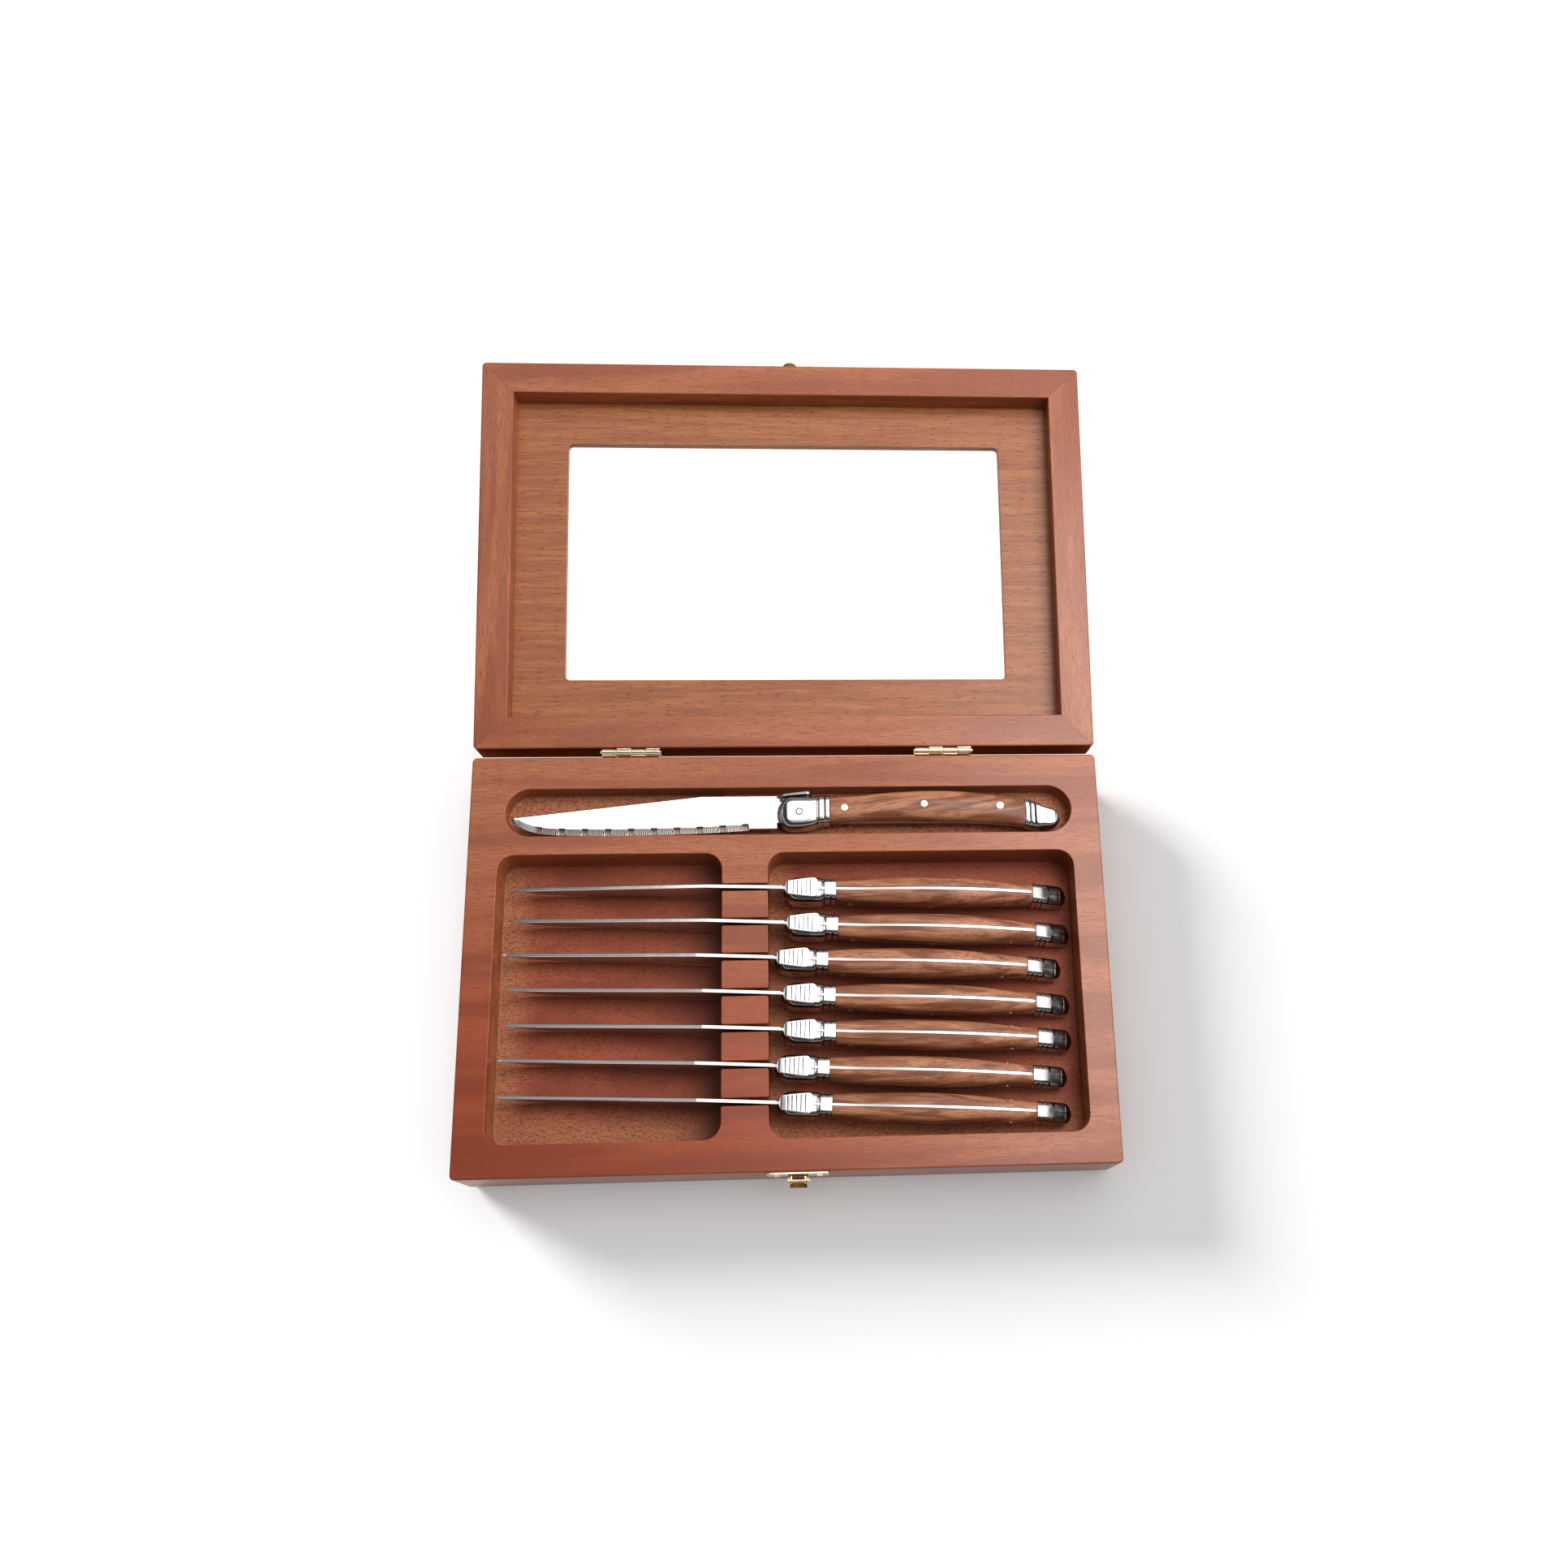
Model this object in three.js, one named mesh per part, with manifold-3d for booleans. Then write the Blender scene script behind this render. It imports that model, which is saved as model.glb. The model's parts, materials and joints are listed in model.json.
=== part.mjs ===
// Knife display case: a stained beech tray with a glazed lid, holding eight steak knives.
// Millimetres, +Z up. The origin is on the surface that the case stands on, under the tray's centre.
// +X is the viewer's right when the lid is at the back, and +Y points to the hinges.
import * as THREE from 'three';
import { mergeVertices } from 'three/addons/utils/BufferGeometryUtils.js';
import Module from 'manifold-3d';

const wasm = await Module();
wasm.setup();

// Clearances
const seatGap = 0.3; // between two pieces that bear on each other in a turned group
const pinGap = 0.2; // round a pin or a screw, on the radius
const swingGap = 0.3; // between the latch's flap and what it swings past
const weld = 0.2; // how far two pieces that are joined into one reach into each other
const through = 1; // how far a cutting tool runs past a face

// Knife: s runs from the front of the bolster towards the butt, u upwards from the blade's spine
const bladeLength = 112.4;
const bladeDepth = 17;
const bladeThickness = 1.4;
const tipDrop = 9.2;
const spineBend = 32; // where the spine starts to fall to the tip, ahead of the bolster
const bevelHeight = 2.7;
const edgeThickness = 0.3;
const choilSetback = 12.1;
const heelDepth = 14.7;
const tangThickness = 1.6;
const bolsterLength = 22.3;
const scaleLength = 83.9;
const capLength = 15.2;
const handleThickness = 12.4;
const bolsterThickness = 10.4;
const capThickness = 8.6;
const rivetRadius = 1.5;

// The belly of the blade: [share of the blade's length from the bolster, share of its depth]
const bellyLine = [
  [choilSetback / bladeLength, 0.9], [0.32, 0.97], [0.6, 1], [0.75, 0.99],
  [0.84, 0.965], [0.9, 0.91], [0.95, 0.79], [1, 0.57],
];
const bellyShare = 0.6; // where the blade is deepest

// Outlines of the handle: [share of the piece's length, top, bottom, share of its thickness]
const bolsterOutline = [
  [0, -5.2, -11.4, 0.46],
  [0.03, -3.6, -13.2, 0.73],
  [0.11, -2.2, -14.7, 0.92],
  [0.22, -1.8, -15.2, 1],
  [0.5, -1.8, -15, 1],
  [0.75, -1.8, -13.9, 0.96],
  [0.79, -0.9, -13.2, 0.84],
  [1, -0.9, -12.7, 0.86],
];
const scaleOutline = [
  [0, -1.1, -12.5, 0.76],
  [0.13, -0.4, -12.2, 0.89],
  [0.33, 1.3, -12.2, 0.98],
  [0.52, 2, -12.3, 1],
  [0.7, 1.4, -12.6, 0.92],
  [0.86, -0.3, -13.4, 0.78],
  [1, -2.7, -14.8, 0.68],
];
const capOutline = [
  [0, -2.8, -14.8, 0.98],
  [0.3, -4.4, -15.7, 1],
  [0.6, -6.3, -15.9, 0.98],
  [0.82, -8, -15, 0.84],
  [0.95, -9.6, -13.4, 0.6],
  [1, -11, -12.2, 0.37],
];
const scalePins = [[0.075, -7], [0.48, -5.9], [0.87, -6.5]]; // [share of the scale's length, height]
const bolsterRivet = [0.42, -8.6]; // [share of the bolster's length, height]
const capRivet = [0.55, -10.8]; // [share of the cap's length, height]

// Thumb plate on the bolster: [s, width, top]
const thumbPlate = [[2.2, 3.4, 0.1], [3.6, 4.2, 0.5], [13.2, 8.8, 2.1], [14.6, 7.6, 2.4]];
const tangTop = -0.9; // in front of the thumb plate and behind it
const thumbPlateChamfer = 0.4;

// Tray: its plan is worked out from the knives that it holds
const handleRoom = 2.6; // between the handles of two standing knives
const bridgeLength = 19.2;
const bridgeSlotWidth = 3.2;
const tipRoom = 1.9;
const buttRoom = 1.7;
const pocketRadius = 7;
const spineRise = 0.4; // how far the blades' spines stand above the tray's top
const slotDepth = 9;
const slotFrontRoom = 0.7;
const slotBackRoom = 0.9;
const slotTipRoom = 1.5;
const slotButtRoom = 4.9;
const sideMargin = 12.5;
const frontMargin = 13.3;
const dividerWidth = 8.2;
const rearMargin = 14.5;
const trayTop = 32;
const basePanelThickness = 3;
const basePanelInset = 1;
const boardCorner = 2;
const boardEdge = 0.6; // eased edge of the tray's board

// How far each standing knife's bolster lies behind the bridge, and its turn to the front, in degrees
const knifeSetbacks = [6.2, 6.8, 2.4, 5.2, 5.1, 2.3, 3.1];
const knifeSplays = [1.4, 2.3, 2.4, 2.6, 2.6, 2.9, 2.9];
const flatKnifeSetback = 4.1;

// Lid
const lidHeight = 15;
const railWidth = 14;
const recessDepth = 10;
const railLap = 6; // how far the panel reaches over the rails
const windowMarginX = 36.5;
const windowMarginY = 33.5;
const windowCorner = 2;
const paneThickness = 1.2;
const paneLap = 4;
const openAngle = 173;

// Hinges
const hingeSpread = 67;
const hingeLength = 24.4;
const leafHeight = 9.5;
const leafThickness = 0.7;
const leafRoom = 0.5; // between a knuckle and the other leaf's edge
const pinOffset = 2; // from the wood's back face to the pin
const knuckleRadius = 1.5;
const knuckleCount = 4;
const knuckleGap = 0.3;
const hingePinRadius = 0.7;
const hingePinTail = 0.7;

// Latch on the tray's front, and the catch on the lid that it hooks over
const latchX = 2.5;
const latchPlate = { width: 25, height: 9, thickness: 0.8, drop: 1.2 };
const latchPinDrop = 4.5; // below the tray's top
const latchPinRadius = 0.6;
const latchPinTail = 0.7;
const flapWidth = 8.1;
const flapWall = 0.6;
const flapHalfDepth = 2;
const flapWebDrop = 1.4; // from the pin to the web's upper edge
const earThickness = 0.7;
const earWall = 0.4; // metal round the pin's hole
const catchHeight = 4; // from the lid's lower face to the lip
const catchPlate = { width: 8.6, height: 5, thickness: 0.6 };
const catchLip = { width: 6.2, reach: 2.9, thickness: 1 };
const latchScrew = { headRadius: 1.7, headHeight: 0.9, shankRadius: 0.8, length: 5.5, inset: 4 };

// Sides and steps of round stretches
const pinSides = 10;
const rivetSides = 8;
const knuckleSides = 12;
const cornerSteps = 6;
const smallCornerSteps = 3;
const sectionSteps = 5;

// Sizes that follow from the ones above
const standingKnives = knifeSetbacks.length;
const handleLength = bolsterLength + scaleLength + capLength;
const knifeLength = bladeLength + handleLength;
const capStart = bolsterLength + scaleLength;
const thumbPlateTop = Math.max(...thumbPlate.map(([, , top]) => top));
const deepest = (outline) => outline.reduce((a, b) => (b[2] < a[2] ? b : a));

// What a standing knife can rest on: [s, depth below the spine]
const knifeFeet = {
  belly: [-bellyShare * bladeLength, bladeDepth],
  bolster: [deepest(bolsterOutline)[0] * bolsterLength, -deepest(bolsterOutline)[2]],
  cap: [capStart + deepest(capOutline)[0] * capLength, -deepest(capOutline)[2]],
};
const knifeTilt = Math.atan2(
  knifeFeet.belly[1] - knifeFeet.cap[1],
  knifeFeet.cap[0] - knifeFeet.belly[0],
);
const knifeDrop = Math.max(
  ...Object.values(knifeFeet).map(([s, depth]) => depth * Math.cos(knifeTilt) + s * Math.sin(knifeTilt)),
);

const knifePitch = handleThickness + handleRoom;
const leftPocketLength = bladeLength - bridgeLength - Math.min(...knifeSetbacks) + tipRoom;
const rightPocketLength = Math.max(...knifeSetbacks) + handleLength + buttRoom;
const pocketWidth = (standingKnives + 1) * knifePitch;
const slotWidth = slotFrontRoom + bladeDepth + thumbPlateTop + slotBackRoom;
const slotLength = slotTipRoom + knifeLength + slotButtRoom;
const caseWidth = 2 * sideMargin + leftPocketLength + bridgeLength + rightPocketLength;
const caseDepth = frontMargin + pocketWidth + dividerWidth + slotWidth + rearMargin;
const pocketFloorZ = trayTop + spineRise - knifeDrop - seatGap;
const slotFloorZ = trayTop - slotDepth;
const frontY = -caseDepth / 2;
const backY = caseDepth / 2;
const pocketLeftX = -caseWidth / 2 + sideMargin;
const bridgeLeftX = pocketLeftX + leftPocketLength;
const bridgeRightX = bridgeLeftX + bridgeLength;
const pocketFrontY = frontY + frontMargin;
const pocketBackY = pocketFrontY + pocketWidth;
const slotFrontY = pocketBackY + dividerWidth;
const slotLeftX = bridgeRightX + flatKnifeSetback - bladeLength - slotTipRoom;
const pinY = backY + pinOffset;
const pinZ = trayTop + seatGap / 2;

const materials = {
  tray: new THREE.MeshStandardMaterial({ color: '#a9654a', roughness: 0.45, metalness: 0 }),
  base: new THREE.MeshStandardMaterial({ color: '#9a6a4c', roughness: 0.7, metalness: 0 }),
  rail: new THREE.MeshStandardMaterial({ color: '#a8614a', roughness: 0.45, metalness: 0 }),
  panel: new THREE.MeshStandardMaterial({ color: '#a9673f', roughness: 0.55, metalness: 0 }),
  pane: new THREE.MeshStandardMaterial({
    color: '#f2f6f7', roughness: 0.05, metalness: 0, transparent: true, opacity: 0.25,
  }),
  brass: new THREE.MeshStandardMaterial({ color: '#d9c08a', roughness: 0.25, metalness: 1 }),
  steel: new THREE.MeshStandardMaterial({ color: '#c9c9cc', roughness: 0.15, metalness: 1 }),
  scale: new THREE.MeshStandardMaterial({ color: '#9a5f3a', roughness: 0.4, metalness: 0 }),
};

// Turns a closed three.js geometry into a solid that can be joined and cut.
function solidOf(geometry) {
  const bare = geometry.clone();
  bare.deleteAttribute('normal');
  bare.deleteAttribute('uv');
  const merged = mergeVertices(bare, 1e-4);
  return new wasm.Manifold(
    new wasm.Mesh({
      numProp: 3,
      vertProperties: merged.attributes.position.array,
      triVerts: Uint32Array.from(merged.index.array),
    }),
  );
}

// Turns a solid back into a geometry.
function geometryOf(solid) {
  const { vertProperties, triVerts } = solid.getMesh();
  const geometry = new THREE.BufferGeometry();
  geometry.setAttribute('position', new THREE.BufferAttribute(Float32Array.from(vertProperties), 3));
  geometry.setIndex(Array.from(triVerts));
  geometry.computeVertexNormals();
  return geometry;
}

function join(...geometries) {
  return geometryOf(geometries.map(solidOf).reduce((a, b) => a.add(b)));
}

function cut(geometry, ...tools) {
  return geometryOf(tools.map(solidOf).reduce((a, b) => a.subtract(b), solidOf(geometry)));
}

function block(x0, x1, y0, y1, z0, z1) {
  const geometry = new THREE.BoxGeometry(x1 - x0, y1 - y0, z1 - z0);
  return geometry.translate((x0 + x1) / 2, (y0 + y1) / 2, (z0 + z1) / 2);
}

function polygon(points) {
  return new THREE.Shape(points.map(([x, y]) => new THREE.Vector2(x, y)));
}

// A rectangle with round corners, by its limits.
function roundedRectangle(x0, x1, y0, y1, radius) {
  const shape = new THREE.Shape();
  shape.absarc(x1 - radius, y1 - radius, radius, 0, Math.PI / 2);
  shape.absarc(x0 + radius, y1 - radius, radius, Math.PI / 2, Math.PI);
  shape.absarc(x0 + radius, y0 + radius, radius, Math.PI, 1.5 * Math.PI);
  shape.absarc(x1 - radius, y0 + radius, radius, 1.5 * Math.PI, 2 * Math.PI);
  return shape;
}

// A shape in the XY plane, carried up from z0 to z1.
function prism(shape, z0, z1, curveSegments = cornerSteps) {
  const options = { depth: z1 - z0, bevelEnabled: false, curveSegments };
  return new THREE.ExtrudeGeometry(shape, options).translate(0, 0, z0);
}

// A shape in the YZ plane, carried along X.
function prismX(shape, x0, x1) {
  const toX = new THREE.Matrix4().makeBasis(
    new THREE.Vector3(0, 1, 0),
    new THREE.Vector3(0, 0, 1),
    new THREE.Vector3(1, 0, 0),
  );
  return prism(shape, x0, x1).applyMatrix4(toX);
}

function rodX(radius, x0, x1, y, z, sides) {
  const geometry = new THREE.CylinderGeometry(radius, radius, x1 - x0, sides);
  return geometry.rotateZ(Math.PI / 2).translate((x0 + x1) / 2, y, z);
}

function rodY(radius, y0, y1, x, z, sides) {
  return new THREE.CylinderGeometry(radius, radius, y1 - y0, sides).translate(x, (y0 + y1) / 2, z);
}

function signedVolume(geometry) {
  const corners = geometry.toNonIndexed().attributes.position;
  const [a, b, c] = [new THREE.Vector3(), new THREE.Vector3(), new THREE.Vector3()];
  let sum = 0;
  for (let i = 0; i < corners.count; i += 3) {
    a.fromBufferAttribute(corners, i);
    b.fromBufferAttribute(corners, i + 1);
    c.fromBufferAttribute(corners, i + 2);
    sum += a.dot(b.cross(c)) / 6;
  }
  return sum;
}

// Joins rings of points, all with the same count, into one closed body.
function loft(rings) {
  const count = rings[0].length;
  const last = (rings.length - 1) * count;
  const index = [];
  for (let r = 0; r < rings.length - 1; r++) {
    for (let k = 0; k < count; k++) {
      const a = r * count + k;
      const b = r * count + ((k + 1) % count);
      index.push(a, b, b + count, a, b + count, a + count);
    }
  }
  for (let k = 1; k < count - 1; k++) {
    index.push(0, k + 1, k, last, last + k, last + k + 1);
  }
  const geometry = new THREE.BufferGeometry();
  geometry.setAttribute('position', new THREE.Float32BufferAttribute(rings.flat(2), 3));
  geometry.setIndex(index);
  if (signedVolume(geometry) < 0) {
    geometry.setIndex(index.reverse());
  }
  geometry.computeVertexNormals();
  return geometry;
}

function addMesh(parent, name, geometry, material) {
  const mesh = new THREE.Mesh(geometry, material);
  mesh.name = name;
  parent.add(mesh);
}

// Tray

// The tray's board, with round corners and eased edges.
function trayBoard() {
  const [x, y] = [caseWidth / 2 - boardEdge, caseDepth / 2 - boardEdge];
  const geometry = new THREE.ExtrudeGeometry(roundedRectangle(-x, x, -y, y, boardCorner), {
    depth: trayTop - basePanelThickness - 2 * boardEdge,
    bevelEnabled: true,
    bevelSize: boardEdge,
    bevelThickness: boardEdge,
    bevelSegments: 1,
    curveSegments: smallCornerSteps,
  });
  return geometry.translate(0, 0, basePanelThickness + boardEdge);
}

function pocket(x0, x1) {
  const shape = roundedRectangle(x0, x1, pocketFrontY, pocketBackY, pocketRadius);
  return prism(shape, pocketFloorZ, trayTop + through);
}

function bridgeSlotY(number) {
  return pocketBackY - number * knifePitch;
}

function bridgeSlot(number) {
  const y = bridgeSlotY(number);
  const half = bridgeSlotWidth / 2;
  return block(
    bridgeLeftX - through, bridgeRightX + through, y - half, y + half, pocketFloorZ, trayTop + through,
  );
}

function flatKnifeSlot() {
  const shape = roundedRectangle(
    slotLeftX, slotLeftX + slotLength, slotFrontY, slotFrontY + slotWidth, slotWidth / 2,
  );
  return prism(shape, slotFloorZ, trayTop + through);
}

const latchFaceY = frontY - latchPlate.thickness;
const latchPlateTop = trayTop - latchPlate.drop;
const latchScrewZ = latchPlateTop - latchPlate.height / 2;

function latchScrewX(side) {
  return latchX + side * (latchPlate.width / 2 - latchScrew.inset);
}

function latchScrewHole(side) {
  const radius = latchScrew.shankRadius + pinGap;
  const bottom = latchFaceY + latchScrew.length + pinGap;
  return rodY(radius, latchFaceY - through, bottom, latchScrewX(side), latchScrewZ, pinSides);
}

function trayBody() {
  const bridgeSlots = Array.from({ length: standingKnives }, (_, i) => bridgeSlot(i + 1));
  return cut(
    trayBoard(),
    flatKnifeSlot(),
    pocket(pocketLeftX, bridgeLeftX),
    pocket(bridgeRightX, bridgeRightX + rightPocketLength),
    ...bridgeSlots,
    latchScrewHole(-1),
    latchScrewHole(1),
  );
}

function basePanel() {
  const [x, y] = [caseWidth / 2 - basePanelInset, caseDepth / 2 - basePanelInset];
  return prism(roundedRectangle(-x, x, -y, y, boardCorner), 0, basePanelThickness, smallCornerSteps);
}

// Lid, in its shut place with the hinge pin as the origin

const lidFrontY = frontY - pinY;
const lidBackY = backY - pinY;
const lidCentreY = (lidFrontY + lidBackY) / 2;
const lidFace = seatGap / 2;
const lidTop = lidFace + lidHeight;
const panelFace = lidFace + recessDepth;
const rebateX = caseWidth / 2 - railWidth + railLap;
const rebateY = caseDepth / 2 - railWidth + railLap;

// One rail with mitred ends and a rebate for the panel, from its outline in plan.
function lidRail(outline) {
  const rebate = block(
    -rebateX, rebateX, lidCentreY - rebateY, lidCentreY + rebateY, panelFace - seatGap, lidTop + through,
  );
  return cut(prism(polygon(outline), lidFace, lidTop), rebate);
}

// A rail along the case's width, from its outer edge at y. Its inner edge lies towards the lid's middle.
function longRail(y) {
  const outer = caseWidth / 2 - seatGap / Math.SQRT2;
  const inner = outer - railWidth;
  const innerY = y + Math.sign(lidCentreY - y) * railWidth;
  return lidRail([[-outer, y], [outer, y], [inner, innerY], [-inner, innerY]]);
}

// A rail along the case's depth, on the left for side -1 and on the right for side 1.
function shortRail(side) {
  const outer = caseDepth / 2 - seatGap / Math.SQRT2;
  const inner = outer - railWidth;
  const [x, innerX] = [(side * caseWidth) / 2, side * (caseWidth / 2 - railWidth)];
  return lidRail([
    [x, lidCentreY - outer], [x, lidCentreY + outer],
    [innerX, lidCentreY + inner], [innerX, lidCentreY - inner],
  ]);
}

const windowX = caseWidth / 2 - windowMarginX;
const windowY = caseDepth / 2 - windowMarginY;
const paneSeat = lidTop - paneThickness - 2 * seatGap;

// The window's outline, or one larger all round by the margin.
function windowOutline(margin) {
  const [x, y] = [windowX + margin, windowY + margin];
  return roundedRectangle(-x, x, lidCentreY - y, lidCentreY + y, windowCorner);
}

function lidPanel() {
  const [x, y] = [rebateX - seatGap, rebateY - seatGap];
  return cut(
    block(-x, x, lidCentreY - y, lidCentreY + y, panelFace, lidTop),
    prism(windowOutline(0), panelFace - through, lidTop + through, smallCornerSteps),
    prism(windowOutline(paneLap + seatGap), paneSeat, lidTop + through, smallCornerSteps),
  );
}

function windowPane() {
  const low = paneSeat + seatGap;
  return prism(windowOutline(paneLap), low, low + paneThickness, smallCornerSteps);
}

function lidCatch() {
  const face = lidFrontY - seatGap;
  const low = lidFace + catchHeight;
  const middle = low + catchLip.thickness / 2;
  const [halfWidth, halfHeight] = [catchPlate.width / 2, catchPlate.height / 2];
  const plate = block(
    latchX - halfWidth, latchX + halfWidth, face - catchPlate.thickness, face,
    middle - halfHeight, middle + halfHeight,
  );
  const root = face - catchPlate.thickness + weld;
  const reach = root - (lidFrontY - catchLip.reach);
  const lip = new THREE.Shape();
  lip.absellipse(latchX, root, catchLip.width / 2, reach, Math.PI, 2 * Math.PI, false, 0);
  return join(plate, prism(lip, low, low + catchLip.thickness));
}

// Hinges, about the pin as the origin

// Side 1 is the lid's leaf, above the pin, and side -1 the tray's, below it. Each has every second knuckle.
function hingeLeaf(centreX, side, first) {
  const step = (hingeLength + knuckleGap) / knuckleCount;
  const start = centreX - hingeLength / 2;
  const wood = -pinOffset + seatGap;
  const edge = knuckleRadius + leafRoom;
  const [leafLow, leafHigh] = [side * edge, side * leafHeight].sort((a, b) => a - b);
  const [tabLow, tabHigh] = [0, side * (edge + weld)].sort((a, b) => a - b);
  const pieces = [block(start, start + hingeLength, wood, wood + leafThickness, leafLow, leafHigh)];
  for (let k = first; k < knuckleCount; k += 2) {
    const x0 = start + k * step;
    const x1 = x0 + step - knuckleGap;
    pieces.push(rodX(knuckleRadius, x0, x1, 0, 0, knuckleSides));
    pieces.push(block(x0, x1, wood, wood + leafThickness, tabLow, tabHigh));
  }
  const reach = hingeLength / 2 + through;
  const bore = rodX(hingePinRadius + pinGap, centreX - reach, centreX + reach, 0, 0, pinSides);
  return cut(join(...pieces), bore);
}

function hingePin(centreX) {
  const half = hingeLength / 2 + hingePinTail;
  return rodX(hingePinRadius, centreX - half, centreX + half, 0, 0, pinSides);
}

// Latch on the tray's front: a plate with two ears, a pin and a flap that hangs open

const latchPinZ = trayTop - latchPinDrop;
const latchPinY = latchFaceY - swingGap - flapHalfDepth;
const lipTopZ = pinZ + lidFace + catchHeight + catchLip.thickness;
const flapReach = lipTopZ - latchPinZ + swingGap;

function latchBore() {
  const reach = flapWidth / 2 + through;
  return rodX(latchPinRadius + pinGap, latchX - reach, latchX + reach, latchPinY, latchPinZ, pinSides);
}

function latchEar(side) {
  const radius = latchPinRadius + pinGap + earWall;
  const root = latchFaceY + weld;
  const shape = new THREE.Shape();
  shape.absarc(latchPinY, latchPinZ, radius, Math.PI / 2, 1.5 * Math.PI);
  shape.lineTo(root, latchPinZ - radius);
  shape.lineTo(root, latchPinZ + radius);
  const outer = side * (flapWidth / 2 - flapWall - swingGap);
  const [x0, x1] = [outer, outer - side * earThickness].sort((a, b) => a - b);
  return prismX(shape, latchX + x0, latchX + x1);
}

function latchBasePlate() {
  const plate = block(
    latchX - latchPlate.width / 2, latchX + latchPlate.width / 2, latchFaceY, frontY,
    latchPlateTop - latchPlate.height, latchPlateTop,
  );
  return cut(join(plate, latchEar(-1), latchEar(1)), latchBore(), latchScrewHole(-1), latchScrewHole(1));
}

function latchFlap() {
  const half = flapWidth / 2;
  const [near, far] = [latchPinY + flapHalfDepth, latchPinY - flapHalfDepth];
  const low = latchPinZ - flapReach - flapWall;
  const cheek = new THREE.Shape();
  cheek.absarc(latchPinY, latchPinZ, flapHalfDepth, 0, Math.PI);
  cheek.lineTo(far, low);
  cheek.lineTo(near, low);
  const pieces = [
    prismX(cheek, latchX - half, latchX - half + flapWall),
    prismX(cheek, latchX + half - flapWall, latchX + half),
    block(latchX - half, latchX + half, near - flapWall, near, low, latchPinZ - flapWebDrop),
    block(latchX - half, latchX + half, far, near, low, low + flapWall),
  ];
  return cut(join(...pieces), latchBore());
}

function latchPin() {
  const half = flapWidth / 2 + latchPinTail;
  return rodX(latchPinRadius, latchX - half, latchX + half, latchPinY, latchPinZ, pinSides);
}

function latchScrewBody(side) {
  const { headRadius, headHeight, shankRadius, length } = latchScrew;
  const profile = [
    [0, -headHeight], [0.6 * headRadius, -headHeight], [headRadius, -0.4 * headHeight], [headRadius, 0],
    [shankRadius, 0], [shankRadius, length - shankRadius], [0, length],
  ].map(([radius, y]) => new THREE.Vector2(radius, y));
  return new THREE.LatheGeometry(profile, pinSides).translate(latchScrewX(side), latchFaceY, latchScrewZ);
}

// Knife, along X with its spine up and the front of its bolster at the origin

// A smooth curve through [s, value] points, read at s.
function along(points, s) {
  const last = points.length - 1;
  const i = Math.max(0, Math.min(last, points.filter(([at]) => at <= s).length) - 1);
  const slope = (k) => {
    const [a, b] = [points[Math.max(0, k - 1)], points[Math.min(last, k + 1)]];
    return (b[1] - a[1]) / (b[0] - a[0]);
  };
  const width = points[i + 1][0] - points[i][0];
  const t = (s - points[i][0]) / width;
  const [t2, t3] = [t ** 2, t ** 3];
  return (
    (2 * t3 - 3 * t2 + 1) * points[i][1] + (t3 - 2 * t2 + t) * width * slope(i) +
    (3 * t2 - 2 * t3) * points[i + 1][1] + (t3 - t2) * width * slope(i + 1)
  );
}

// A cross-section of the blade or tang, whose lower part thins to the edge.
function plateRing(s, top, bottom, thickness, lowerThickness) {
  const bevel = bottom + Math.min(bevelHeight, (top - bottom) / 2);
  const [half, lower] = [thickness / 2, lowerThickness / 2];
  return [
    [s, half, top], [s, half, bevel], [s, lower, bottom],
    [s, -lower, bottom], [s, -half, bevel], [s, -half, top],
  ];
}

// Rings from the tip to the heel.
function bladeRings() {
  const bend = spineBend / bladeLength;
  const shares = [1, 0.975, 0.95, 0.9, 0.84, 0.75, bellyShare, 0.45, bend, 0.2, choilSetback / bladeLength];
  const edged = shares.map((share) => {
    const fall = Math.max(0, (share - bend) / (1 - bend));
    const edge = Math.min(-tipDrop * fall - edgeThickness, -bladeDepth * along(bellyLine, share));
    return plateRing(-share * bladeLength, -tipDrop * fall, edge, bladeThickness, edgeThickness);
  });
  const heel = [-choilSetback + seatGap, -seatGap].map((s) =>
    plateRing(s, 0, -heelDepth, bladeThickness, bladeThickness));
  return [...edged, ...heel];
}

// The height of the thumb plate's underside, which reaches into the bolster's two halves.
function thumbPlateFoot(s) {
  return along(bolsterOutline.map(([share, top]) => [share * bolsterLength, top]), s) - weld;
}

// Rings of the tang, which fills the outline of the handle and passes under the thumb plate.
function tangRings() {
  const place = (outline, start, length) =>
    outline.map(([share, top, bottom]) => [start + share * length, top, bottom]);
  const bottoms = [
    [seatGap, -heelDepth],
    ...place(bolsterOutline, 0, bolsterLength).slice(3).map(([s, , bottom]) => [s, bottom]),
  ];
  const [start, end] = [thumbPlate[0][0] - seatGap, thumbPlate.at(-1)[0] + seatGap];
  const low = Math.min(...thumbPlate.map(([s]) => thumbPlateFoot(s))) - seatGap;
  const inBolster = [...bottoms.map(([s]) => s), start - weld, start, end, end + weld]
    .sort((a, b) => a - b)
    .map((s) => [s, s >= start && s <= end ? low : tangTop, along(bottoms, s)]);
  const rows = [
    ...inBolster,
    ...place(scaleOutline, bolsterLength, scaleLength).slice(1),
    ...place(capOutline, capStart, capLength).slice(1, -1),
  ];
  return rows.map(([s, top, bottom]) => plateRing(s, top, bottom, tangThickness, tangThickness));
}

function thumbPlateBody() {
  return loft(thumbPlate.map(([s, width, top]) => {
    const foot = thumbPlateFoot(s);
    const [half, narrow] = [width / 2, width / 2 - thumbPlateChamfer];
    return [[s, half, top], [s, -half, top], [s, -narrow, foot], [s, narrow, foot]];
  }));
}

function scalePinX(share) {
  return bolsterLength + share * scaleLength;
}

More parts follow.
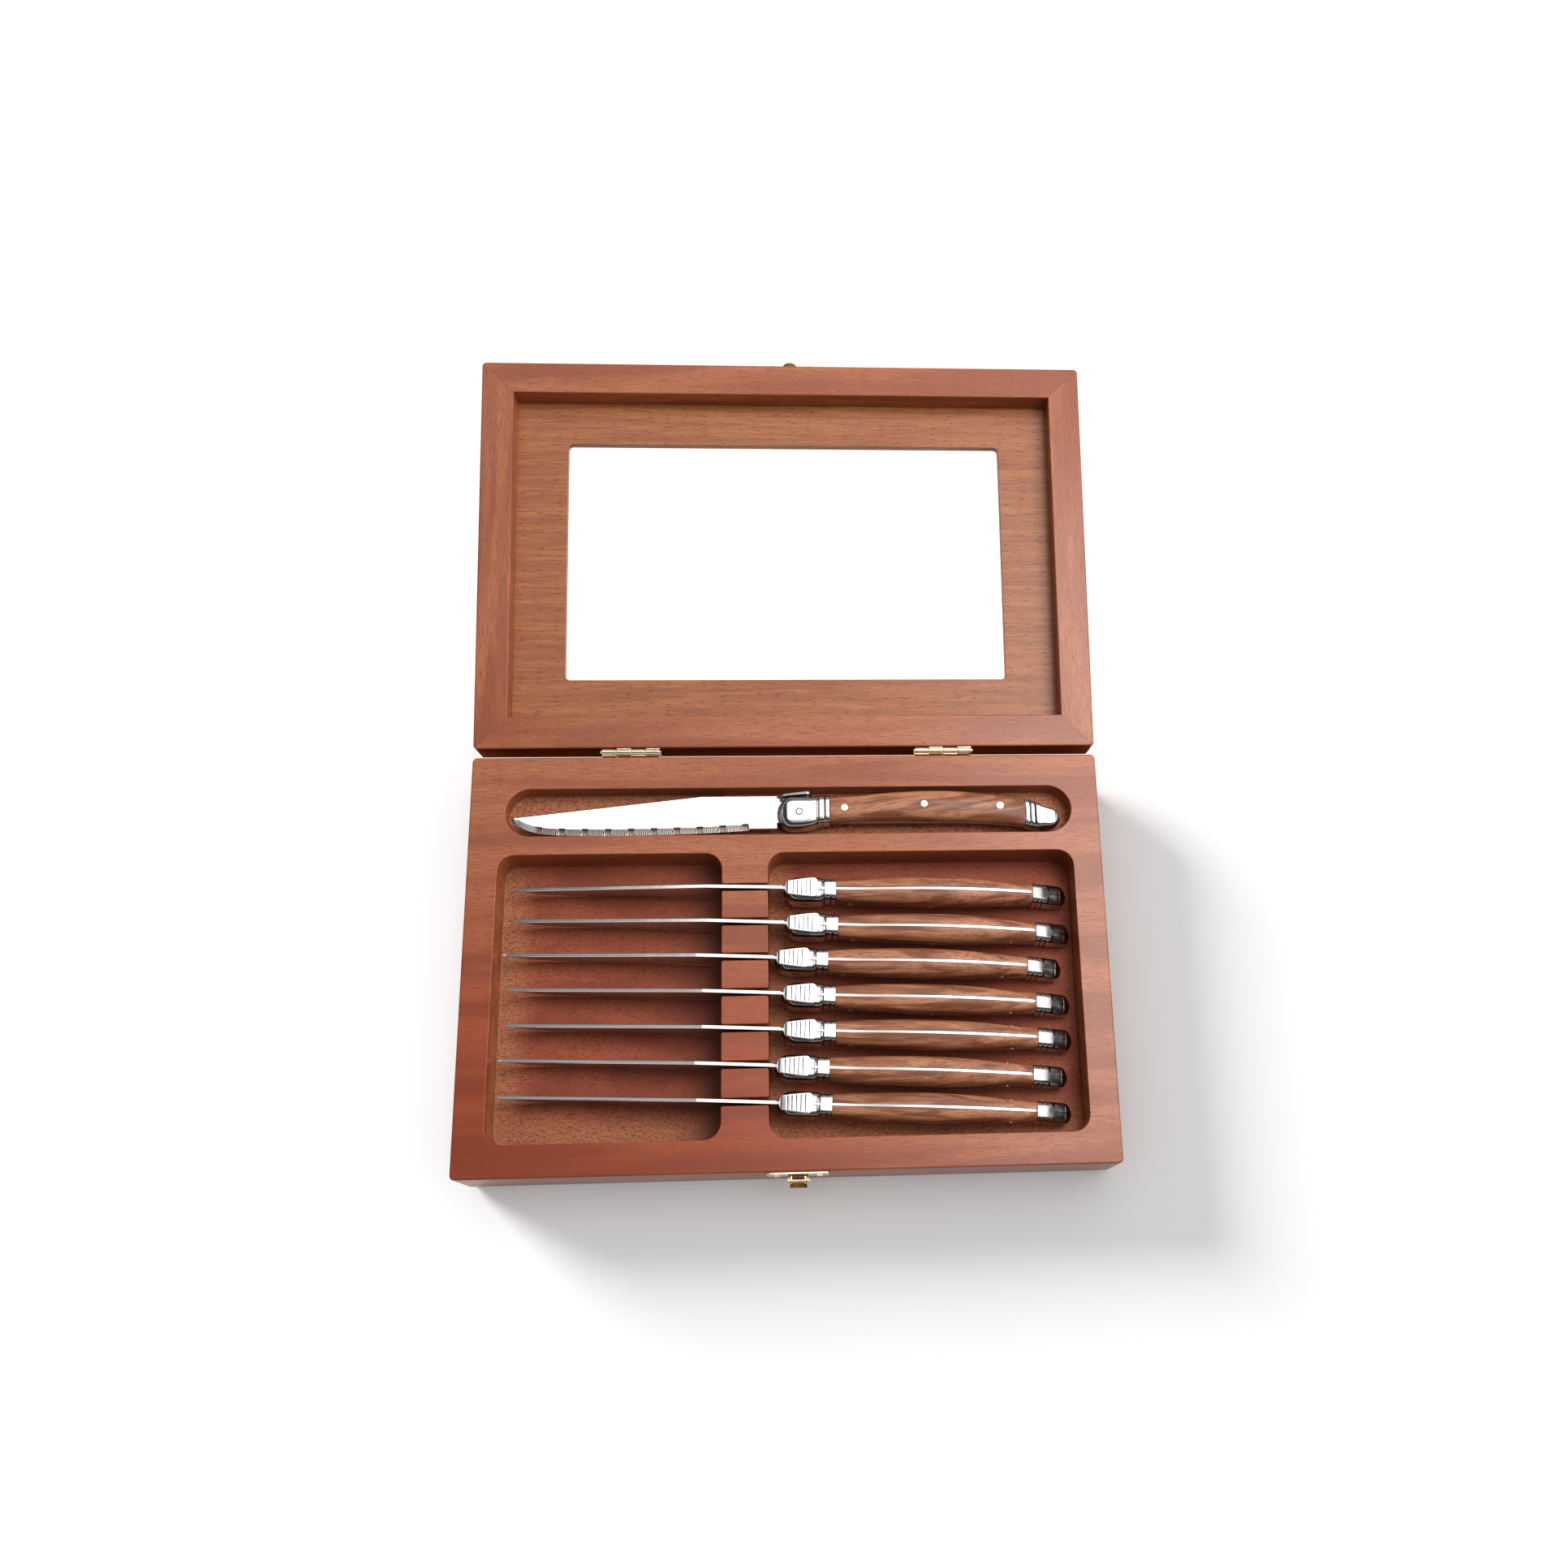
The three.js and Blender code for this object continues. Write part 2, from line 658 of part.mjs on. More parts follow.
function scalePin([share, u]) {
  const half = (handleThickness / 2) * along(scaleOutline.map((row) => [row[0], row[3]]), share);
  return rodY(rivetRadius, -half, half, scalePinX(share), u, rivetSides);
}

// Blade, tang and the three pins through the scales.
function knifeBlade() {
  const places = [
    [bolsterRivet[0] * bolsterLength, bolsterRivet[1]],
    [capStart + capRivet[0] * capLength, capRivet[1]],
  ];
  const holes = places.map(([s, u]) =>
    rodY(rivetRadius + seatGap, -tangThickness, tangThickness, s, u, rivetSides));
  const plate = loft([...bladeRings(), ...tangRings()]);
  return cut(join(plate, ...scalePins.map(scalePin)), ...holes);
}

// Half of a handle's cross-section, flat against the tang and round outside.
function halfRing(s, top, bottom, outer, side) {
  const fullness = 0.76;
  const inner = tangThickness / 2 + seatGap;
  const middle = (top + bottom) / 2;
  const reach = (top - bottom) / 2;
  return Array.from({ length: sectionSteps + 1 }, (_, k) => {
    const angle = Math.PI / 2 - (k * Math.PI) / sectionSteps;
    const across = k % sectionSteps === 0 ? 0 : Math.cos(angle) ** fullness;
    const up = Math.sign(Math.sin(angle)) * Math.abs(Math.sin(angle)) ** fullness;
    return [s, side * (inner + (outer - inner) * across), middle + reach * up];
  });
}

function halfBody(outline, start, length, thickness, side) {
  return loft(outline.map(([share, top, bottom, full]) =>
    halfRing(start + share * length, top, bottom, (thickness * full) / 2, side)));
}

// Two metal halves held together by their rivet.
function rivetedPair(outline, start, length, thickness, [share, u]) {
  const halves = [1, -1].map((side) => halfBody(outline, start, length, thickness, side));
  const reach = tangThickness / 2 + seatGap + weld;
  return join(...halves, rodY(rivetRadius, -reach, reach, start + share * length, u, rivetSides));
}

function handleScale(side) {
  const start = bolsterLength + seatGap;
  const body = halfBody(scaleOutline, start, scaleLength - 2 * seatGap, handleThickness, side);
  const holes = scalePins.map(([share, u]) =>
    rodY(rivetRadius + seatGap, -handleThickness, handleThickness, scalePinX(share), u, rivetSides));
  return cut(body, ...holes);
}

function addKnife(parent, number) {
  const name = `knife_${number}`;
  const halves = rivetedPair(bolsterOutline, 0, bolsterLength, bolsterThickness, bolsterRivet);
  const endCap = rivetedPair(capOutline, capStart, capLength, capThickness, capRivet);
  addMesh(parent, `${name}_blade`, knifeBlade(), materials.steel);
  addMesh(parent, `${name}_bolster`, join(halves, thumbPlateBody()), materials.steel);
  addMesh(parent, `${name}_scale_left`, handleScale(1), materials.scale);
  addMesh(parent, `${name}_scale_right`, handleScale(-1), materials.scale);
  addMesh(parent, `${name}_end_cap`, endCap, materials.steel);
}

// A knife that stands on its belly and its end cap, with its blade in a slot of the bridge.
function standingKnife(number) {
  const setback = knifeSetbacks[number - 1];
  const splay = THREE.MathUtils.degToRad(knifeSplays[number - 1]);
  const toBridgeMiddle = setback + bridgeLength / 2;
  const yaw = new THREE.Group();
  yaw.position.set(
    bridgeRightX + setback,
    bridgeSlotY(number) - toBridgeMiddle * Math.tan(splay),
    trayTop + spineRise,
  );
  yaw.rotation.z = -splay;
  const pitch = new THREE.Group();
  pitch.rotation.y = knifeTilt;
  addKnife(pitch, number);
  yaw.add(pitch);
  return yaw;
}

// The knife that lies on its side in the slot.
function flatKnife(number) {
  const group = new THREE.Group();
  group.position.set(
    bridgeRightX + flatKnifeSetback,
    slotFrontY + slotFrontRoom + bladeDepth,
    slotFloorZ + seatGap + handleThickness / 2,
  );
  group.rotation.x = -Math.PI / 2;
  addKnife(group, number);
  return group;
}

// Assembly

const knifeCase = new THREE.Group();

addMesh(knifeCase, 'tray_body', trayBody(), materials.tray);
addMesh(knifeCase, 'base_panel', basePanel(), materials.base);

const lid = new THREE.Group();
lid.position.set(0, pinY, pinZ);
lid.rotation.x = -THREE.MathUtils.degToRad(openAngle);
addMesh(lid, 'lid_rail_front', longRail(lidFrontY), materials.rail);
addMesh(lid, 'lid_rail_rear', longRail(lidBackY), materials.rail);
addMesh(lid, 'lid_rail_left', shortRail(-1), materials.rail);
addMesh(lid, 'lid_rail_right', shortRail(1), materials.rail);
addMesh(lid, 'lid_panel', lidPanel(), materials.panel);
addMesh(lid, 'window_pane', windowPane(), materials.pane);
addMesh(lid, 'lid_catch', lidCatch(), materials.brass);
knifeCase.add(lid);

const hingeLine = new THREE.Group();
hingeLine.position.set(0, pinY, pinZ);
for (const [name, centreX] of [['left', -hingeSpread], ['right', hingeSpread]]) {
  addMesh(hingeLine, `hinge_${name}_tray_leaf`, hingeLeaf(centreX, -1, 0), materials.brass);
  addMesh(hingeLine, `hinge_${name}_pin`, hingePin(centreX), materials.brass);
  addMesh(lid, `hinge_${name}_lid_leaf`, hingeLeaf(centreX, 1, 1), materials.brass);
}
knifeCase.add(hingeLine);

addMesh(knifeCase, 'latch_plate', latchBasePlate(), materials.brass);
addMesh(knifeCase, 'latch_flap', latchFlap(), materials.brass);
addMesh(knifeCase, 'latch_pin', latchPin(), materials.brass);
addMesh(knifeCase, 'latch_screw_left', latchScrewBody(-1), materials.brass);
addMesh(knifeCase, 'latch_screw_right', latchScrewBody(1), materials.brass);

for (let number = 1; number <= standingKnives; number++) {
  knifeCase.add(standingKnife(number));
}
knifeCase.add(flatKnife(standingKnives + 1));

export default knifeCase;
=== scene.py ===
"""Knife display case, finished: a stained beech tray, a glazed lid and eight steak knives.

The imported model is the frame. Boards, blades and handles are made again here as fine surfaces in the
same sizes, in millimetres, and placed in the frame's metres.
"""
import json
import logging
import math
import zlib
from dataclasses import dataclass, field
from enum import Enum

import bmesh
import bpy
import numpy as np
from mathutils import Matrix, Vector
from mathutils.geometry import tessellate_polygon

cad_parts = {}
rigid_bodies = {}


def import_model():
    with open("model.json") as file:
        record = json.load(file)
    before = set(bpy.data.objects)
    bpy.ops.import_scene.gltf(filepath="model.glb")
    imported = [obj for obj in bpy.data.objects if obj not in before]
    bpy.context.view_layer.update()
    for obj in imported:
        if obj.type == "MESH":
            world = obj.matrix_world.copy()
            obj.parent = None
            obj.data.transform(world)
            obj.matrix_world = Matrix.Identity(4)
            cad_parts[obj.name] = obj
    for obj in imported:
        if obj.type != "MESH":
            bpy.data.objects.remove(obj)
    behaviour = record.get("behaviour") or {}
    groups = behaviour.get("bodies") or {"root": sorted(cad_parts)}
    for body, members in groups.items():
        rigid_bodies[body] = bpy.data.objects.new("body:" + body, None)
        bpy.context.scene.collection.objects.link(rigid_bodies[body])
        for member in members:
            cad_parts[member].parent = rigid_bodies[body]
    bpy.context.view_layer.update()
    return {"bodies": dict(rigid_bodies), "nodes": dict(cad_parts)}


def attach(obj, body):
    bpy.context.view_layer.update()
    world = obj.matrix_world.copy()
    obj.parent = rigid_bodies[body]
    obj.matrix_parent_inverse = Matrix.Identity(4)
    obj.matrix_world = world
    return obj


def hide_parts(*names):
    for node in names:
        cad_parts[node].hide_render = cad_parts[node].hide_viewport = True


log = logging.getLogger("knife_case")

MM = 0.001
POLE = 0.1

# Settings that many nodes share
SMOOTH = {"interpolation_type": "SMOOTHSTEP"}
COLOURS = {"data_type": "RGBA"}
TIMES = {"operation": "MULTIPLY"}

Tree = bpy.types.NodeTree
Socket = bpy.types.NodeSocket

# Rows of a shape's table, and the axis, start and end of a fade in millimetres
Table = tuple[tuple[float, ...], ...]
Fade = tuple[str, float, float]


class Grain(Enum):
    """Which way the fibres of a board run."""

    ACROSS = 0
    FRONT_TO_BACK = 1


class Side(Enum):
    """A knife's two sides: left is where its own t axis points."""

    LEFT = 1
    RIGHT = -1


# Shapes


@dataclass(frozen=True)
class Placement:
    """A turn and then a shift in millimetres, from a group's own place to the case's."""

    turn: np.ndarray = field(default_factory=lambda: np.eye(3))
    shift: tuple[float, float, float] = (0.0, 0.0, 0.0)

    def point(self, points: np.ndarray) -> np.ndarray:
        """Places points, of any grid shape."""
        return points @ self.turn.T + np.asarray(self.shift)

    def direction(self, vectors: np.ndarray) -> np.ndarray:
        """Turns directions without shifting them."""
        return vectors @ self.turn.T


def turned(axis: int, degrees: float) -> np.ndarray:
    """Works out the matrix of a turn about one axis.

    Args:
        axis: 0, 1 or 2 for x, y or z.
        degrees: The angle, positive by the right hand.

    Returns:
        A 3 by 3 matrix.
    """
    cos, sin = math.cos(math.radians(degrees)), math.sin(math.radians(degrees))
    matrix = np.eye(3)
    a, b = (axis + 1) % 3, (axis + 2) % 3
    matrix[a, a] = matrix[b, b] = cos
    matrix[a, b], matrix[b, a] = -sin, sin
    return matrix


def upright(side: int = 1) -> Placement:
    """Stands a level outline up: its y becomes z, or -z for side -1, and its height becomes y."""
    return Placement(np.array([[1.0, 0, 0], [0, 0, 1.0], [0, side, 0]]))


@dataclass(frozen=True)
class Line:
    """A line in a plane, with the direction square to it on its right-hand side at every point."""

    points: np.ndarray
    normals: np.ndarray

    @classmethod
    def rounded(cls, corners: list, radii: float | list, steps: int = 6, closed: bool = True) -> "Line":
        """Rounds the corners of a polygon or an open line.

        Each corner becomes an arc that touches both of its sides: the arc's normal turns evenly from one
        side's to the other's, and its points lie one radius along that normal from the arc's centre.

        Args:
            corners: Corner points, in order.
            radii: One radius for all corners, or one for each.
            steps: Parts of each arc.
            closed: Whether the last corner joins the first.

        Returns:
            The rounded line.
        """
        corners = np.asarray(corners, dtype=float)
        radii = np.broadcast_to(np.asarray(radii, dtype=float), len(corners))
        into = corners - np.roll(corners, 1, axis=0)
        into /= np.linalg.norm(into, axis=1, keepdims=True)
        out = np.roll(into, -1, axis=0)
        if not closed:
            into = np.concatenate([into[1:2], into[1:]])
            out = np.concatenate([out[:-1], into[-1:]])
        cross = into[:, 0] * out[:, 1] - into[:, 1] * out[:, 0]
        turn = np.arctan2(cross, (into * out).sum(axis=1))
        bend = np.sign(turn) * radii
        angle = np.arctan2(into[:, 1], into[:, 0])[:, None] + turn[:, None] * np.linspace(0, 1, steps + 1)
        normals = np.stack([np.sin(angle), -np.cos(angle)], axis=-1)
        touch = corners - into * (radii * np.tan(np.abs(turn) / 2))[:, None]
        centre = touch - bend[:, None] * normals[:, 0]
        points = (centre[:, None] + bend[:, None, None] * normals).reshape(-1, 2)
        normals = normals.reshape(-1, 2)
        gap = np.linalg.norm(points - np.roll(points, 1, axis=0), axis=1)
        keep = gap > 1e-6
        keep[0] = keep[0] or not closed
        return cls(points[keep], normals[keep])

    @classmethod
    def box(cls, low: tuple, high: tuple, radius: float, steps: int = 6) -> "Line":
        """Makes a rectangle with round corners, counter-clockwise, from its lowest and highest corner."""
        corners = [low, (high[0], low[1]), high, (low[0], high[1])]
        return cls.rounded(corners, radius, steps)

    @classmethod
    def wall(
        cls, offset: float, inner: float, low: float, high: float, ease: float, steps: int = 3
    ) -> "Line":
        """Makes the open profile of an upright wall that runs a little way into both level faces.

        Args:
            offset: Where the wall stands.
            inner: How far in the level parts end.
            low: The wall's foot.
            high: Its top.
            ease: The radius of both edges.
            steps: Parts of each edge's arc.

        Returns:
            The profile, from below to above.
        """
        corners = [(inner, low), (offset, low), (offset, high), (inner, high)]
        return cls.rounded(corners, [0, ease, ease, 0], steps, False)

    def carry(self, profile: "Line") -> tuple[np.ndarray, np.ndarray]:
        """Carries a profile along this line.

        A point of the profile, [offset, height], lands that offset outwards from the line and at that
        height. Its normal keeps its upward part and turns its other part outwards.

        Args:
            profile: The profile, with its own normals.

        Returns:
            Two grids, of points and of normals: one row for each point of the profile.
        """
        shape = (len(profile.points), len(self.points), 1)
        plan = self.points[None] + self.normals[None] * profile.points[:, None, :1]
        height = np.broadcast_to(profile.points[:, None, 1:], shape)
        level = self.normals[None] * profile.normals[:, None, :1]
        upward = np.broadcast_to(profile.normals[:, None, 1:], shape)
        return np.concatenate([plan, height], axis=-1), np.concatenate([level, upward], axis=-1)


def smooth_curve(table: list, at: np.ndarray) -> np.ndarray:
    """Reads a smooth curve through the rows of a table.

    Between two rows it is the cubic whose slope at each row is that of the line between its neighbours.

    Args:
        table: Rows of [place, value, value, ...].
        at: Places to read it at.

    Returns:
        One row of values for each place.
    """
    table = np.asarray(table, dtype=float)
    place, value = table[:, 0], table[:, 1:]
    before = np.maximum(np.arange(len(place)) - 1, 0)
    after = np.minimum(np.arange(len(place)) + 1, len(place) - 1)
    slope = (value[after] - value[before]) / (place[after] - place[before])[:, None]
    i = np.clip(np.searchsorted(place, at, side="right") - 1, 0, len(place) - 2)
    width = (place[i + 1] - place[i])[:, None]
    t = np.clip((at - place[i])[:, None] / width, 0, 1)
    return (
        (2 * t**3 - 3 * t**2 + 1) * value[i]
        + (t**3 - 2 * t**2 + t) * width * slope[i]
        + (3 * t**2 - 2 * t**3) * value[i + 1]
        + (t**3 - t**2) * width * slope[i + 1]
    )


@dataclass
class Shell:
    """A closed surface in the making, in its group's own millimetres."""

    points: np.ndarray = field(default_factory=lambda: np.empty((0, 3)))
    normals: np.ndarray = field(default_factory=lambda: np.empty((0, 3)))
    faces: list = field(default_factory=list)
    finish_numbers: list = field(default_factory=list)

    def rows(self, points: np.ndarray, normals: np.ndarray | None = None) -> np.ndarray:
        """Adds a grid of points.

        Args:
            points: The grid, rows by columns by 3.
            normals: Normals in the same layout. Without them Blender's own smooth shading holds.

        Returns:
            The points' numbers, in the grid's layout.
        """
        numbers = np.arange(points.size // 3).reshape(points.shape[:-1]) + len(self.points)
        if normals is None:
            normals = np.zeros(points.shape)
        self.points = np.concatenate([self.points, points.reshape(-1, 3)])
        self.normals = np.concatenate([self.normals, np.broadcast_to(normals, points.shape).reshape(-1, 3)])
        return numbers

    def skin(self, grid: np.ndarray, finish: int | np.ndarray = 0) -> None:
        """Lays quads between neighbouring rows of numbers, each row closed on itself.

        Args:
            grid: Point numbers, rows by columns.
            finish: The finish's number, one for all or a grid of them.
        """
        after = np.roll(grid, -1, axis=1)
        quads = np.stack([grid[:-1], after[:-1], after[1:], grid[1:]], axis=-1)
        self.faces += quads.reshape(-1, 4).tolist()
        self.finish_numbers += np.broadcast_to(finish, quads.shape[:2]).ravel().tolist()

    def cap(self, loop: np.ndarray, finish: int = 0) -> None:
        """Closes a flat loop of numbers with one face."""
        self.faces.append(loop.tolist())
        self.finish_numbers.append(finish)

    def sheet(self, outer: np.ndarray, holes: list[np.ndarray], finish: int = 0) -> None:
        """Closes a flat loop of numbers with triangles that leave the holes open.

        Args:
            outer: Point numbers round the outside.
            holes: Point numbers round each hole.
            finish: The finish's number.
        """
        loops = [outer, *holes]
        numbers = np.concatenate(loops)
        triangles = tessellate_polygon([[Vector(p) for p in self.points[loop]] for loop in loops])
        self.faces += numbers[np.array(triangles)].tolist()
        self.finish_numbers += [finish] * len(triangles)

    def closed(
        self, points: np.ndarray, normals: np.ndarray | None = None, finish: int | np.ndarray = 0
    ) -> "Shell":
        """Adds a tube of rings with a face over each end.

        Args:
            points: The rings, rows by columns by 3.
            normals: Normals in the same layout, or none.
            finish: The finish's number, one for all or a grid of them.

        Returns:
            This shell.
        """
        grid = self.rows(points, normals)
        numbers = np.broadcast_to(finish, (len(grid) - 1, grid.shape[1]))
        self.skin(grid, numbers)
        self.cap(grid[0], int(numbers[0, 0]))
        self.cap(grid[-1], int(numbers[-1, 0]))
        return self

    def slab(
        self, outline: Line, low: float, high: float, ease: float, steps: int = 3, finish: int = 0
    ) -> "Shell":
        """Adds a flat piece: an upright wall carried round its outline.

        Args:
            outline: Its outline in plan.
            low: Its underside's height.
            high: Its top's height.
            ease: The radius of its edges.
            steps: Parts of each edge's arc.
            finish: The finish's number.

        Returns:
            This shell.
        """
        return self.closed(*outline.carry(Line.wall(0, -2 * ease, low, high, ease, steps)), finish)

    def lathe(self, profile: Line, sides: int = 32, finish: int | np.ndarray = 0) -> "Shell":
        """Adds a round body about the z axis.

        Args:
            profile: [radius, height], with no point on the axis.
            sides: Its sides.
            finish: The finish's number, one for all or a grid of them.

        Returns:
            This shell.
        """
        angle = np.arange(sides) * 2 * math.pi / sides
        ring = np.stack([np.cos(angle), np.sin(angle)], axis=-1)
        return self.closed(*Line(ring * 0, ring).carry(profile), finish)

    def add(self, other: "Shell", placement: Placement = Placement()) -> "Shell":
        """Adds another shell.

        Args:
            other: The other shell.
            placement: Where it goes.

        Returns:
            This shell.
        """
        first = len(self.points)
        self.points = np.concatenate([self.points, placement.point(other.points)])
        self.normals = np.concatenate([self.normals, placement.direction(other.normals)])
        self.faces += [[first + number for number in face] for face in other.faces]
        self.finish_numbers += other.finish_numbers
        return self


def along(s: np.ndarray, t: np.ndarray, u: np.ndarray) -> np.ndarray:
    """Puts rings of points along an axis.

    Args:
        s: Each ring's place.
        t: Places across, rings by points.
        u: Heights, rings by points.

    Returns:
        The points, rings by points by 3.
    """
    return np.stack([np.broadcast_to(s[:, None], t.shape), t, u], axis=-1)


def rod(radius: float, half: float, ease: float, centre: tuple, sides: int = 32) -> Shell:
    """Makes a round rod along x.

    Args:
        radius: Its radius.
        half: Half its length.
        ease: The radius of its ends' edges.
        centre: Its middle.
        sides: Its sides.

    Returns:
        The rod.
    """
    bar = Shell().lathe(Line.wall(radius, POLE, -half, half, ease), sides)
    return Shell().add(bar, Placement(turned(1, 90.0), centre))


@dataclass(frozen=True)
class Fitting:
    """How a finished shell goes into the scene."""

    body: str
    slot: str
    finishes: tuple["Finish", ...]
    replaces: tuple[str, ...] = ()
    placement: Placement = Placement()
    grain: Grain = Grain.ACROSS
    grain_slant: float = 0.0
    sharp_angle: float = 35.0

    def grain_place(self, name: str, points: np.ndarray) -> np.ndarray:
        """Works out where each point lies in the wood it was cut from.

        Args:
            name: The piece's name, which picks the stretch of wood.
            points: Points in the group's own millimetres.

        Returns:
            Millimetres along the fibres and in the two ways across them.
        """
        turn = turned(2, -90.0 * self.grain.value) @ turned(1, self.grain_slant)
        start = np.random.default_rng(zlib.crc32(name.encode())).uniform(-900, 900, 3)
        return points @ turn.T + start

    def build(self, name: str, shell: Shell) -> bpy.types.Object:
        """Makes the object, places it, dresses it and lets it ride on its body.

        Args:
            name: The piece's name.
            shell: Its surface.

        Returns:
            The new object.
        """
        mesh = bpy.data.meshes.new(name)
        mesh.from_pydata((self.placement.point(shell.points) * MM).tolist(), [], shell.faces)
        for finish in self.finishes:
            mesh.materials.append(finish.material())
        mesh.polygons.foreach_set("material_index", shell.finish_numbers)
        shape = bmesh.new()
        shape.from_mesh(mesh)
        bmesh.ops.recalc_face_normals(shape, faces=shape.faces)
        shape.to_mesh(mesh)
        shape.free()
        mesh.shade_smooth()
        if np.abs(shell.normals).sum() > 0:
            mesh.normals_split_custom_set_from_vertices(self.placement.direction(shell.normals).tolist())
        else:
            mesh.set_sharp_from_angle(angle=math.radians(self.sharp_angle))
        place = mesh.attributes.new("grain", "FLOAT_VECTOR", "POINT")
        place.data.foreach_set("vector", self.grain_place(name, shell.points).astype(np.float32).ravel())
        mesh.validate()
        piece = bpy.data.objects.new(name, mesh)
        bpy.context.scene.collection.objects.link(piece)
        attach(piece, self.body)
        if self.replaces:
            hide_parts(*self.replaces)
        log.info("%s: %d faces", name, len(mesh.polygons))
        return piece


# Finishes


def linear(colour: str) -> tuple[float, float, float, float]:
    """Turns an sRGB colour such as #aabbcc into Blender's linear values."""
    parts = [int(colour[i : i + 2], 16) / 255 for i in (1, 3, 5)]
    return (*(p / 12.92 if p <= 0.04045 else ((p + 0.055) / 1.055) ** 2.4 for p in parts), 1.0)


def add_node(tree: Tree, kind: str, inputs: dict | None = None, **settings: object) -> bpy.types.Node:
    """Adds one node, sets it up and links it.

    Args:
        tree: The node tree.
        kind: The node's type, without its Shader prefix.
        inputs: Values or other nodes' outputs for its inputs, by name or number.
        settings: Its own settings.

    Returns:
        The node.
    """
    node = tree.nodes.new(f"ShaderNode{kind}")
    for key, value in settings.items():
        setattr(node, key, value)
    for key, value in (inputs or {}).items():
        if isinstance(value, Socket):
            tree.links.new(value, node.inputs[key])
        else:
            node.inputs[key].default_value = value
    return node


@dataclass(frozen=True)
class Finish:
    """A surface finish, which makes its material once."""

    name: str

    def material(self) -> bpy.types.Material:
        """Makes the material, or gives the one that is there."""
        if self.name in bpy.data.materials:
            return bpy.data.materials[self.name]
        material = bpy.data.materials.new(self.name)
        material.use_nodes = True
        tree = material.node_tree
        tree.nodes.clear()
        add_node(tree, "OutputMaterial", {"Surface": self.shader(tree)})
        return material

    def shader(self, tree: Tree) -> Socket:
        """Draws the finish and gives its shader."""
        raise NotImplementedError


